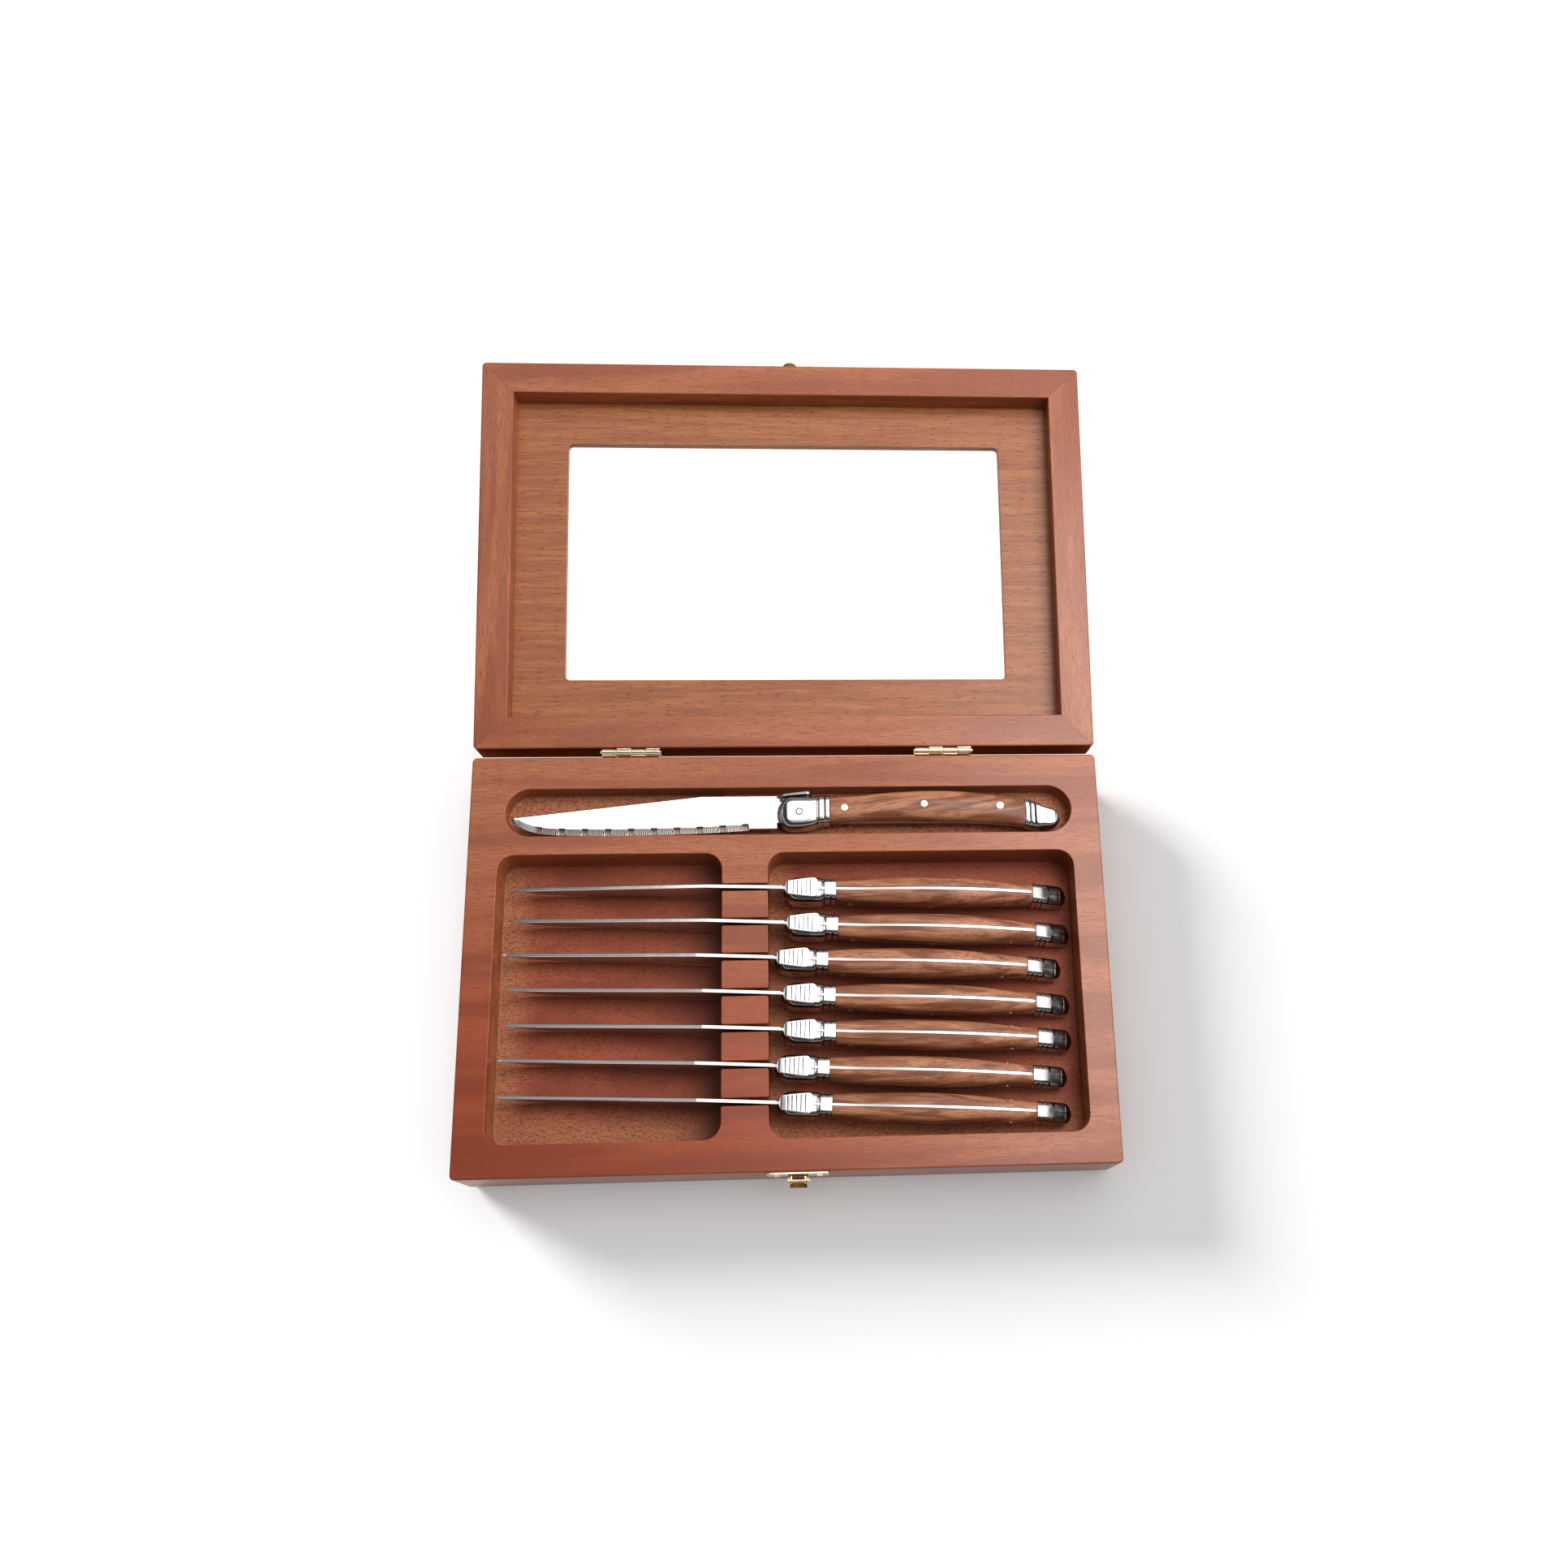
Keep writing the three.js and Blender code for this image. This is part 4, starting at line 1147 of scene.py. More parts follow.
@dataclass(frozen=True)
class Lid:
    """The glazed lid: four rails, the board, its pane and the catch that the latch hooks over."""

    width: float = 266.9
    depth: float = 177.0
    front: float = -179.0
    rear: float = -2.0
    catch_x: float = 2.5
    catch_plate: tuple[float, float, float] = (8.6, 5.0, 0.6)
    catch_height: float = 4.65
    lip: tuple[float, float, float] = (6.1, 2.2, 2.6)
    lip_top: float = 5.15

    def catch(self) -> Shell:
        """Makes the catch: a thin plate on the rail's face and a half-round lip standing out from it."""
        face = self.front - 0.3
        width, height, thickness = self.catch_plate
        x, z = self.catch_x, self.catch_height
        plate = Line.box((x - width / 2, z - height / 2), (x + width / 2, z + height / 2), 0.8, 5)
        shell = Shell().add(Shell().slab(plate, face - thickness, face, 0.15), upright())
        lip_width, reach, lip_height = self.lip
        angle = np.linspace(math.pi, 2 * math.pi, 9)
        root = face - thickness + 0.2
        arc = np.stack([x + lip_width / 2 * np.cos(angle), root + reach * np.sin(angle)], axis=-1)
        lip = Line.rounded(arc, 0.12, 3)
        # The lip takes the second finish: brass painted dark as the shade under it.
        return shell.add(Shell().slab(lip, self.lip_top - lip_height, self.lip_top, 0.25, finish=1))

    def build(self) -> None:
        """Makes the lid's rails, its board and its catch."""
        LidRail("front", self.width, self.front, 1, Grain.ACROSS).build()
        # The rear rail's hinged face is painted darker and without gloss, as shade in the gap behind the
        # tray.
        LidRail("rear", self.width, self.rear, -1, Grain.ACROSS, outer_finish=SHADED_GAP_BEECH).build()
        LidRail("left", self.depth, -self.width / 2, 1, Grain.FRONT_TO_BACK).build()
        LidRail("right", self.depth, self.width / 2, -1, Grain.FRONT_TO_BACK).build()
        LidPanel().build()
        finishes = (PALE_BRASS, SHADED_BRASS)
        Fitting("lid", "brass", finishes, ("lid_catch",), LID_PLACE).build("lid_catch_lip", self.catch())


# Hinges and latch


@dataclass(frozen=True)
class Hinge:
    """A small butt hinge with four knuckles, screwed to the backs of the tray and the lid."""

    name: str
    centre: float
    length: float = 24.4
    knuckles: int = 4
    gap: float = 0.3
    knuckle_radius: float = 1.35
    pin_radius: float = 0.7
    pin_tail: float = 0.7
    leaf: float = 0.7
    leaf_height: float = 9.5
    leaf_face: float = -1.7
    leaf_edge: float = 2.0
    nail_radius: float = 1.1
    nail_places: tuple[float, ...] = (0.2, 0.8)

    def span(self, number: int) -> tuple[float, float]:
        """Works out where a knuckle starts and ends along the pin.

        Args:
            number: The knuckle's number.

        Returns:
            Its start and end.
        """
        step = (self.length + self.gap) / self.knuckles
        start = self.centre - self.length / 2 + number * step
        return start, start + step - self.gap

    def half(self, side: int, first: int) -> Shell:
        """Makes one leaf with every second knuckle and its two nails.

        Args:
            side: 1 above the pin for the lid, -1 below it for the tray.
            first: The number of its first knuckle.

        Returns:
            The leaf.
        """
        shell = Shell()
        stand = upright(side)
        face = self.leaf_face + self.leaf
        start, end = self.centre - self.length / 2, self.centre + self.length / 2
        plate = Line.box((start, self.leaf_edge), (end, self.leaf_height), 0.6, 4)
        shell.add(Shell().slab(plate, self.leaf_face, face, 0.12), stand)
        for number in range(first, self.knuckles, 2):
            low, high = self.span(number)
            roll = Line.wall(self.knuckle_radius, self.pin_radius, low, high, 0.25)
            shell.add(Shell().lathe(roll), Placement(turned(1, 90.0)))
            tab = Line.box((low, 0.0), (high, self.leaf_edge + 0.4), 0.1, 2)
            shell.add(Shell().slab(tab, self.leaf_face, face, 0.1), stand)
        head = Line.rounded(
            [(self.nail_radius, 0), (0.75 * self.nail_radius, 0.45), (POLE, 0.6)], [0.0, 0.3, 0.0], 4, False
        )
        z = side * (self.leaf_edge + self.leaf_height) / 2
        for share in self.nail_places:
            place = (start + share * self.length, face, z)
            shell.add(Shell().lathe(head, 20), Placement(turned(0, -90.0), place))
        return shell

    def build(self) -> None:
        """Makes the two leaves and the pin."""
        hinge_line = Placement(shift=LID_PLACE.shift)
        name = f"hinge_{self.name}"
        pin = rod(self.pin_radius, self.length / 2 + self.pin_tail, 0.25, (self.centre, 0, 0))
        for body, node, piece, place, shell in (
            ("tray", "tray_leaf", "lower", hinge_line, self.half(-1, 0)),
            ("lid", "lid_leaf", "upper", LID_PLACE, self.half(1, 1)),
            ("tray", "pin", "rod", hinge_line, pin),
        ):
            fitting = Fitting(body, "brass", (PALE_BRASS,), (f"{name}_{node}",), place)
            fitting.build(f"{name}_{piece}", shell)


@dataclass(frozen=True)
class Latch:
    """The latch on the tray's front: a screwed plate with two ears, a pin and a channel-shaped flap."""

    x: float = 2.5
    face: float = -88.5
    plate: tuple[float, float, float] = (25.0, 9.0, 0.8)
    plate_top: float = 30.8
    pin: tuple[float, float] = (-91.6, 27.5)
    pin_radius: float = 0.6
    pin_tail: float = 0.7
    flap_width: float = 8.1
    flap_wall: float = 0.6
    flap_half_depth: float = 2.0
    flap_low: float = 16.8
    web_top: float = 26.1
    ear: float = 0.7
    swing_gap: float = 0.3
    screw_spread: float = 8.5
    screw_height: float = 26.3
    screw_radius: float = 1.7
    head_height: float = 0.85
    shank: float = 0.3
    cross_half: float = 0.16
    cross_reach: float = 0.62
    cross_depth: float = 0.4

    def sideways(self, outline: Line, low: float, high: float, ease: float, finish: int = 0) -> Shell:
        """Makes a slab that stands across the case.

        Args:
            outline: Its outline in y and z.
            low: Where it starts along x, from the latch's middle.
            high: Where it ends.
            ease: The radius of its edges.
            finish: The finish's number.

        Returns:
            The slab.
        """
        slab = Shell().slab(outline, self.x + low, self.x + high, ease, finish=finish)
        return Shell().add(slab, Placement(np.array([[0, 0, 1.0], [1.0, 0, 0], [0, 1.0, 0]])))

    def base(self) -> Shell:
        """Makes the plate and its two ears."""
        width, height, thickness = self.plate
        low, high = (self.x - width / 2, self.plate_top - height), (self.x + width / 2, self.plate_top)
        plate = Shell().slab(Line.box(low, high, 1.2, 5), self.face - thickness, self.face, 0.15)
        shell = Shell().add(plate, upright())
        y, z = self.pin
        radius = self.pin_radius + 0.6
        ear = Line.box((y - radius, z - radius), (self.face - thickness + 0.2, z + radius), 1.1)
        edge = self.flap_width / 2 - self.flap_wall - self.swing_gap
        shell.add(self.sideways(ear, edge - self.ear, edge, 0.1))
        return shell.add(self.sideways(ear, -edge, self.ear - edge, 0.1))

    def flap(self) -> Shell:
        """Makes the flap: two cheeks, the web between them and the hook's end."""
        y, z = self.pin
        half, depth, wall = self.flap_width / 2, self.flap_half_depth, self.flap_wall
        low, front, back = self.flap_low, y - depth, y + depth
        corners = [(front, low), (back, low), (back, z + depth), (front, z + depth)]
        cheek = Line.rounded(corners, [0.5, 0.5, 1.9, 1.9], 8)
        shell = self.sideways(cheek, -half, wall - half, 0.15)
        shell.add(self.sideways(cheek, half - wall, half, 0.15))
        # The web and the hook's end take the second finish: brass painted dark as the shade inside the
        # channel.
        for first, last in (
            ((back - wall, low), (back, self.web_top)),
            ((front, low), (back, low + wall)),
        ):
            shell.add(self.sideways(Line.box(first, last, 0.15, 3), 0.1 - half, half - 0.1, 0.15, 1))
        return shell

    def screw(self, side: int) -> Shell:
        """Makes a domed screw head with a cross in it.

        The head is a grid of rings and angles. Its height falls with a power of the radius, and the cross
        is where both the distance from one of two lines and the radius are small.

        Args:
            side: -1 for the left screw, 1 for the right one.

        Returns:
            The screw.
        """
        rings = np.linspace(0.02, 1, 18)[:, None]
        angle = (np.arange(64) * 2 * math.pi / 64)[None]
        across, up = rings * np.cos(angle), rings * np.sin(angle)
        arm = np.minimum(np.abs(across), np.abs(up))
        within = np.clip((self.cross_reach - rings) / 0.1, 0, 1)
        cross = np.clip((self.cross_half - arm) / 0.06, 0, 1) * within
        height = self.head_height * (1 - rings**2.4) - self.cross_depth * cross
        radius = self.screw_radius
        top = np.stack([across * radius, height, up * radius], axis=-1)
        shank = top[-1:] * [1, 0, 1] - [0, self.shank, 0]
        place = (self.x + side * self.screw_spread, self.face - self.plate[2], self.screw_height)
        shell = Shell().closed(np.concatenate([top, shank]))
        return Shell().add(shell, Placement(np.diag([1.0, -1.0, 1.0]), place))

    def build(self) -> None:
        """Makes the latch's pieces."""
        pin = rod(self.pin_radius, self.flap_width / 2 + self.pin_tail, 0.2, (self.x, *self.pin), 20)
        for body, node, piece, finishes, shell in (
            ("tray", "plate", "base", (PALE_BRASS,), self.base()),
            ("latch", "flap", "hook", (PALE_BRASS, SHADED_BRASS), self.flap()),
            ("tray", "pin", "rod", (PALE_BRASS,), pin),
            ("tray", "screw_left", "left_screw", (PALE_BRASS,), self.screw(-1)),
            ("tray", "screw_right", "right_screw", (PALE_BRASS,), self.screw(1)),
        ):
            Fitting(body, "brass", finishes, (f"latch_{node}",)).build(f"latch_{piece}", shell)


# Knives


@dataclass(frozen=True)
class Knife:
    """A steak knife. s runs from its bolster's front to the butt, t to its left and u up from the spine.

    The tables' rows give a share of a part's length and then the belly's share of the blade's depth, or
    the top, the bottom and the share of the part's half thickness.
    """

    number: int
    placement: Placement
    blade_length: float = 112.4
    blade_depth: float = 17.0
    blade_thickness: float = 1.4
    tip_drop: float = 9.2
    spine_bend: float = 32.0
    bevel: float = 2.7
    edge: float = 0.24
    choil: float = 12.1
    heel_depth: float = 14.7
    tang: float = 1.25
    bolster_length: float = 22.3
    scale_length: float = 83.9
    cap_length: float = 15.2
    handle_thickness: float = 12.4
    bolster_thickness: float = 10.4
    cap_thickness: float = 8.6
    roundness: float = 0.76
    nose: float = 6.5
    nose_rim: float = 2.0
    bolster_flats: tuple[float, float] = (0.56, 0.6)
    cap_flats: tuple[float, float] = (0.53, 0.64)
    cap_top_end: float = 0.42
    corner_steps: int = 10
    bead_groove: tuple[float, float] = (0.4, 0.3)
    groove_run: tuple[float, float] = (0.6, 0.85)
    collar_grooves: tuple[float, ...] = (17.5, 20.2, 22.5)
    cap_grooves: tuple[float, ...] = (-0.1, 2.2, 4.3)
    seam_depth: float = 0.2
    seam_start: float = 0.84
    pin_radius: float = 1.6
    pin_stand: float = 0.06
    pin_rim: float = 0.15
    rivet_stand: float = 0.16
    rivet_rim: float = 0.5
    scallop_pitch: float = 9.6
    scallop: float = 3.2
    scallop_depth: float = 0.3
    scallop_end: float = 0.35
    scallop_rise: float = 0.3
    plain_tip: float = 10.0
    tip_fade: float = 4.0
    step: float = 0.4
    ridge_pitch: float = 0.8
    ridge_depth: float = 0.1
    belly: Table = (
        (12.1 / 112.4, 0.9), (0.32, 0.97), (0.6, 1.0), (0.75, 0.99), (0.84, 0.965), (0.9, 0.91),
        (0.95, 0.79), (1.0, 0.57),
    )
    bolster_rows: Table = (
        (0.0, -1.4, -15.2, 1.0), (0.5, -1.3, -15.0, 1.0), (0.72, -1.5, -14.0, 0.97),
        (0.79, -0.9, -13.2, 0.85), (1.0, -0.9, -12.7, 0.86),
    )
    scale_rows: Table = (
        (0.0, -1.4, -12.5, 0.76), (0.13, -0.8, -12.2, 0.89), (0.33, 0.7, -12.2, 0.98),
        (0.52, 1.3, -12.3, 1.0), (0.7, 0.8, -12.6, 0.92), (0.86, -0.6, -13.4, 0.78),
        (1.0, -2.7, -14.8, 0.68),
    )
    cap_rows: Table = (
        (0.0, -2.8, -14.8, 0.98), (0.3, -4.4, -15.7, 1.0), (0.6, -6.2, -15.9, 1.0),
        (0.82, -7.6, -15.4, 0.98), (0.95, -8.8, -14.5, 0.92), (1.0, -9.4, -13.9, 0.88),
    )
    scale_pins: Table = ((0.075, -7.0), (0.48, -5.9), (0.87, -6.5))
    bolster_rivet: tuple[float, float] = (0.42, -8.6)
    cap_rivet: tuple[float, float] = (0.66, -11.1)
    plate_rows: Table = ((1.0, 5.0, -0.1), (2.8, 6.1, 0.2), (12.4, 8.5, 0.9), (14.7, 7.6, 1.0))
    plate_foot: float = -2.6
    grip_grooves: tuple[float, ...] = (4.2, 6.0, 7.8, 9.6, 11.4)

    @property
    def cap_start(self) -> float:
        """Where the end cap meets the scales."""
        return self.bolster_length + self.scale_length

    def ring(
        self, top: np.ndarray, bottom: np.ndarray, half: np.ndarray, flats: tuple, groove: np.ndarray
    ) -> tuple[np.ndarray, np.ndarray, np.ndarray]:
        """Works out cross-sections with a flat on each of the four sides and round corners between them.

        In shares of the half thickness, a corner's point lies the flat's share out plus the rest times a
        cosine, and likewise upwards with the sine. A point just inside each end of a flat keeps it flat to
        the eye. Grooves cut in from both sides and run out before the top.

        Args:
            top: Heights of the top, one for each section.
            bottom: Heights of the bottom.
            half: Half thicknesses.
            flats: Shares of the half thickness and of the half height that are flat, one or one for each.
            groove: Depths of the grooves.

        Returns:
            [t, u] of each point, sections by sides, then 1 for each side that lies in a corner, and 1 for
            each side of the top's and the bottom's flat.
        """
        angle = np.linspace(0, math.pi / 2, self.corner_steps + 1)
        cos = np.concatenate([[1.0], np.cos(angle), [-0.1]])
        sin = np.concatenate([[-0.1], np.sin(angle), [1.0]])
        cos, sin = (np.concatenate([wave, wave[::-1], wave, wave[::-1]]) for wave in (cos, sin))
        flat_t, flat_u = (np.reshape(share, (-1, 1)) for share in flats)
        across = np.repeat([1, -1, -1, 1], len(angle) + 2) * (flat_t + (1 - flat_t) * cos)
        up = np.repeat([1, 1, -1, -1], len(angle) + 2) * (flat_u + (1 - flat_u) * sin)
        corner = np.tile([0] + [1] * self.corner_steps + [0, 0], 4)
        level = (sin == 1) & (np.roll(sin, -1) == 1)
        first, last = self.groove_run
        flank = np.clip((np.abs(across) - first) / (last - first), 0, 1)
        middle, reach = (top + bottom) / 2, (top - bottom) / 2
        t = half[:, None] * across - groove[:, None] * flank * np.sign(across)
        return np.stack([t, middle[:, None] + reach[:, None] * up], axis=-1), corner, level.astype(int)

    def band(self, s: np.ndarray) -> tuple[np.ndarray, np.ndarray, np.ndarray]:
        """Reads the serrated band along the blade.

        Every pitch has one smooth scallop with short steep ends, and fine ridges for the rest of it. Both
        fade out over the last stretch before the tip. The ridges are drawn twice as coarse as they are.

        Args:
            s: Places along the blade.

        Returns:
            How deep the smooth scallops are ground there, how deep the fine ridges are, and how much higher
            the band reaches.
        """
        phase = np.mod(-s - self.choil, self.scallop_pitch)
        scallop = np.clip(np.minimum(phase, self.scallop - phase) / self.scallop_end, 0, 1)
        ridged = np.clip((phase - self.scallop) / 0.3, 0, 1)
        wave = np.abs(np.sin(math.pi * (phase - self.scallop) / self.ridge_pitch))
        hump = np.sqrt(np.clip(1 - (2 * phase / self.scallop - 1) ** 2, 0, 1))
        start = np.clip((self.blade_length - self.plain_tip + s) / self.tip_fade, 0, 1)
        share = start * np.clip((-s - self.choil) / self.step, 0, 1)
        return (
            self.scallop_depth * scallop * share,
            self.ridge_depth * wave * ridged * share,
            self.scallop_rise * hump * share,
        )

    def blade(self) -> Shell:
        """Makes the blade with its full tang as rings from the tip to the butt.

        Ahead of the bolster a ring goes round the flat sides, down the bevel and round the edge. The bevel
        of the right side is hollowed by the serrated band. A row close beside each bend keeps the flat
        sides flat to the eye. Behind the blade a plate fills the handle's outline.
        """
        length, choil, near_tip = self.blade_length, self.choil, 1.5
        s = np.concatenate([
            -length + np.linspace(0, 1, 12)[:-1] * near_tip,
            np.arange(-length + near_tip, -choil - 0.4, 0.15),
            np.linspace(-choil - 0.35, -choil + 0.6, 12),
            np.linspace(-choil + 0.8, -0.2, 8),
        ])
        share = -s / length
        bend = self.spine_bend / length
        top = -self.tip_drop * np.clip((share - bend) / (1 - bend), 0, 1)
        belly = -self.blade_depth * smooth_curve(self.belly, share)[:, 0]
        behind = np.clip((s + choil) / self.step, 0, 1)
        bottom = np.minimum(belly * (1 - behind) - self.heel_depth * behind, top - 0.25)
        scallop, ridges, rise = self.band(s)
        bevel = np.minimum(self.bevel, 0.8 * (top - bottom)) * (1 - behind) + 0.2 * behind
        half = np.minimum(self.blade_thickness / 2, 0.12 + 0.3 * (top - bottom))
        edge = self.edge / 2 * (1 - behind) + half * 0.8 * behind
        ease = 0.12
        near = np.minimum(0.05, 0.02 * (top - bottom))
        down = np.linspace(0, 1, 7)[None]
        border = bottom + np.minimum(bevel + rise, 0.9 * (top - bottom))
        slope = half[:, None] + (edge - half)[:, None] * down
        hollow = scallop[:, None] * np.sin(math.pi * np.sqrt(down) * 0.75) + ridges[:, None] * np.sqrt(down)
        band_t = -np.maximum(slope - hollow * (1 - behind[:, None]), 0.06)
        band_u = border[:, None] + (bottom - border)[:, None] * down
        right_t = np.stack([-half + ease, -half, -half], axis=-1)
        right_u = np.stack([top, top - ease, border + near], axis=-1)
        left_t = np.stack([edge, half, half, half, half - ease], axis=-1)
        left_u = np.stack([bottom, bottom + bevel, bottom + bevel + near, top - ease, top], axis=-1)
        t = np.concatenate([right_t, band_t, left_t], axis=1)
        u = np.concatenate([right_u, band_u, left_u], axis=1)
        ground = np.zeros((len(s) - 1, t.shape[1]), dtype=int)
        banded = slice(right_t.shape[1], right_t.shape[1] + band_t.shape[1] - 1)
        ground[:, banded] = np.where(scallop[1:, None] > 0.15, 2, rise[1:, None] + ridges[1:, None] > 0.02)
        return Shell().closed(along(s, t, u), finish=ground).add(self.tang_plate())

    def tang_plate(self) -> Shell:
        """Makes the tang: a plate of even thickness whose top and bottom follow the handle's outline."""
        length, start, end = self.bolster_length, self.cap_start, self.cap_start + 10
        rows = [
            (-0.4, -0.9, -12.0), (16.0, -0.9, -13.0), (length, -0.95, -12.3),
            *[(length + share * self.scale_length, top + 0.04, bottom - 0.04)
              for share, top, bottom, _ in self.scale_rows[1:]],
            (start + 2.0, -5.0, -14.8), (end, -8.0, -14.0),
        ]
        s = np.concatenate([np.linspace(-0.4, length, 16), np.linspace(length + 1, end, 90)])
        top, bottom = smooth_curve(rows, s).T
        half, ease = self.tang / 2, 0.15
        t = np.array([half - ease, half, half, half - ease, -half + ease, -half, -half, -half + ease])
        low = np.array([0, 0, 1, 1, 1, 1, 0, 0.0])
        shift = np.array([0, -ease, ease, 0, 0, ease, -ease, 0])
        u = top[:, None] * (1 - low) + bottom[:, None] * low + shift
        return Shell().closed(along(s, np.broadcast_to(t, u.shape), u), finish=3)

    def stud(self, s: float, u: float, reach: float, rim: float) -> Shell:
        """Makes a round stud through the knife, with slightly domed ends and a rim of darker steel, painted
        shade round its edge.

        Args:
            s: Its place along the knife.
            u: Its height.
            reach: How far it stands out on both sides.
            rim: The rim's width.

        Returns:
            The stud.
        """
        r = self.pin_radius
        line = Line.rounded(
            [(0.08, -reach), (r - rim, -reach + 0.02), (r, -reach + 0.14),
             (r, reach - 0.14), (r - rim, reach - 0.02), (0.08, reach)],
            [0, 0.03, 0.06, 0.06, 0.03, 0], 3, False,
        )
        radius = line.points[:, 0]
        dark = np.minimum(radius[1:], radius[:-1]) > r - rim - 0.02
        shell = Shell().lathe(line, 28, dark[:, None].astype(int))
        return Shell().add(shell, Placement(turned(0, 90.0), (s, 0, u)))

    def pins(self) -> Shell:
        """Makes the three pins through the scales, flush with the highest wood round each.

        The wood's side at a height, as a share of the half thickness, is (1 - h^(2/n))^(n/2), where h is
        the height from the middle as a share of the half height and n the roundness.
        """
        shell = Shell()
        spread = np.array([-1.0, 0.0, 1.0]) * self.pin_radius / self.scale_length
        for share, u in self.scale_pins:
            top, bottom, full = smooth_curve(self.scale_rows, share + spread).T
            height = np.minimum(np.abs(u - (top + bottom) / 2) / ((top - bottom) / 2), 1.0)
            side = full * (1 - height ** (2 / self.roundness)) ** (self.roundness / 2)
            reach = self.handle_thickness / 2 * side.max() + self.pin_stand
            shell.add(self.stud(self.bolster_length + share * self.scale_length, u, reach, self.pin_rim))
        return shell

    def scale(self, side: Side) -> Shell:
        """Makes one wooden scale along the handle's outline.

        Its sections are flat against the tang. Round the outside they go by a cosine and a sine to the
        power of the roundness.

        Args:
            side: Which side of the knife it covers.

        Returns:
            The scale.
        """
        share = np.concatenate([[0.0, 0.0015], np.linspace(0.006, 0.994, 70), [0.9985, 1.0]])
        top, bottom, full = smooth_curve(self.scale_rows, share).T
        shrink = np.concatenate([[0.12, 0.03], np.zeros(70), [0.03, 0.12]])
        inner = self.tang / 2 + 0.02
        half = self.handle_thickness / 2 * full - shrink
        steps = 28
        angle = math.pi / 2 - np.arange(steps + 1) * math.pi / steps
        across = np.clip(np.cos(angle), 0, 1) ** self.roundness
        up = np.sign(np.sin(angle)) * np.abs(np.sin(angle)) ** self.roundness
        middle, reach = (top + bottom) / 2, (top - bottom) / 2 - shrink
        t = side.value * (inner + (half - inner)[:, None] * across)
        u = middle[:, None] + reach[:, None] * up
        return Shell().closed(along(self.bolster_length + 0.05 + share * (self.scale_length - 0.1), t, u))

    def beads(self, s: np.ndarray, places: tuple[float, ...]) -> np.ndarray:
        """Works out how deep the grooves beside the beads are: a narrow bell curve for each.

        Args:
            s: Places along a fitting.
            places: The grooves' middles.

        Returns:
            Depths.
        """
        depth, width = self.bead_groove
        return sum(depth * np.exp(-(((s - place) / width) ** 2)) for place in places)

    def fitting(
        self, s: np.ndarray, section: np.ndarray, half: np.ndarray, groove: np.ndarray, dark: np.ndarray
    ) -> Shell:
        """Joins a steel fitting's sections, with painted shade, darker steel, in its grooves on both
        flanks.

        Args:
            s: Places along the knife.
            section: [t, u] of each point.
            half: Half thicknesses.
            groove: Depths of the grooves.
            dark: The finish's number for each face outside the grooves.

        Returns:
            The fitting.
        """
        flank = np.abs(section[1:, :, 0]) > self.seam_start * half[1:, None]
        # Painted shade: the grooves' faces on the flanks take the dark steel.
        dark = np.where(flank & (groove[1:, None] > self.seam_depth), 2, dark)
        return Shell().closed(along(s, section[..., 0], section[..., 1]), finish=dark)

    def bolster(self) -> Shell:
        """Makes the bolster: squarish sections along its outline, a round nose and a collar of two beads.

        The nose draws the section in by (1 - (1 - s/nose)^2.3)^(1/2.3), and the flats start in a half round
        behind its rim.
        """
        nose, rim, length = self.nose, self.nose_rim, self.bolster_length
        s = np.concatenate([nose * np.linspace(0.0004, 1, 26) ** 2, np.linspace(nose + 0.3, length, 90)])
        top, bottom, full = smooth_curve(self.bolster_rows, s / length).T
        draw = (1 - np.clip(1 - s / nose, 0, 1) ** 2.3) ** (1 / 2.3)
        groove = self.beads(s, self.collar_grooves)
        middle, reach = (top + bottom) / 2, (top - bottom) / 2 * draw
        half = self.bolster_thickness / 2 * full * draw
        start = np.sqrt(1 - np.clip(1 - (s - rim) / (nose - rim), 0, 1) ** 2)
        flats = tuple(flat * start for flat in self.bolster_flats)
        section, corner, _ = self.ring(middle + reach, middle - reach, half, flats, groove)
        # The nose's rim and the round corners take the darker steel, a painted dark reflection.
        return self.fitting(s, section, half, groove, np.where(s[1:, None] < rim, 1, corner))

    def thumb_plate(self) -> Shell:
        """Makes the flared plate on the bolster, with plain grooves across it for grip.

        One section, a slab on a narrower foot in shares of the half width and of the height, is carried
        along. The width and the top follow a table and draw in at both ends, and each groove is a narrow
        bell curve cut into the top.
        """
        start, end = self.plate_rows[0][0], self.plate_rows[-1][0]
        s = np.linspace(start, end, 240)
        width, top = smooth_curve(self.plate_rows, s).T
        near = np.clip(1 - (s - start) / 1.2, 0, 1)
        far = np.clip(1 - (end - s) / 1.8, 0, 1)
        half = width / 2 * np.sqrt(1 - 0.85 * near**2.4) * np.sqrt(1 - 0.7 * far**3)
        top = top - 0.5 * near**2 - 0.4 * far**2
        foot = np.full_like(s, self.plate_foot)
        section = Line.rounded(
            [(-0.45, 0), (0.45, 0), (0.55, 0.45), (1, 0.6), (1, 1), (0.86, 1), (0.78, 1),
             (-0.78, 1), (-0.86, 1), (-1, 1), (-1, 0.6), (-0.55, 0.45)],
            [0, 0, 0.1, 0.1, 0.09, 0, 0, 0, 0, 0.09, 0.1, 0.1], 5,
        )
        across, up = section.points.T
        groove = sum(np.exp(-(((s - at) / 0.17) ** 2)) for at in self.grip_grooves)
        inside = (np.abs(across) < 0.8) & (up > 0.95)
        t = half[:, None] * across
        u = foot[:, None] + (top - foot)[:, None] * up - 0.15 * groove[:, None] * inside
        # The top's groove floors and every face but the top take the darker steel: painted shade in the
        # grooves, a painted dark reflection on the sides.
        floor = inside & np.roll(inside, -1) & (groove[1:, None] > 0.4)
        dark = np.where((up > 0.9) & (np.roll(up, -1) > 0.9), floor, 1)
        return Shell().closed(along(s, t, u), finish=dark)

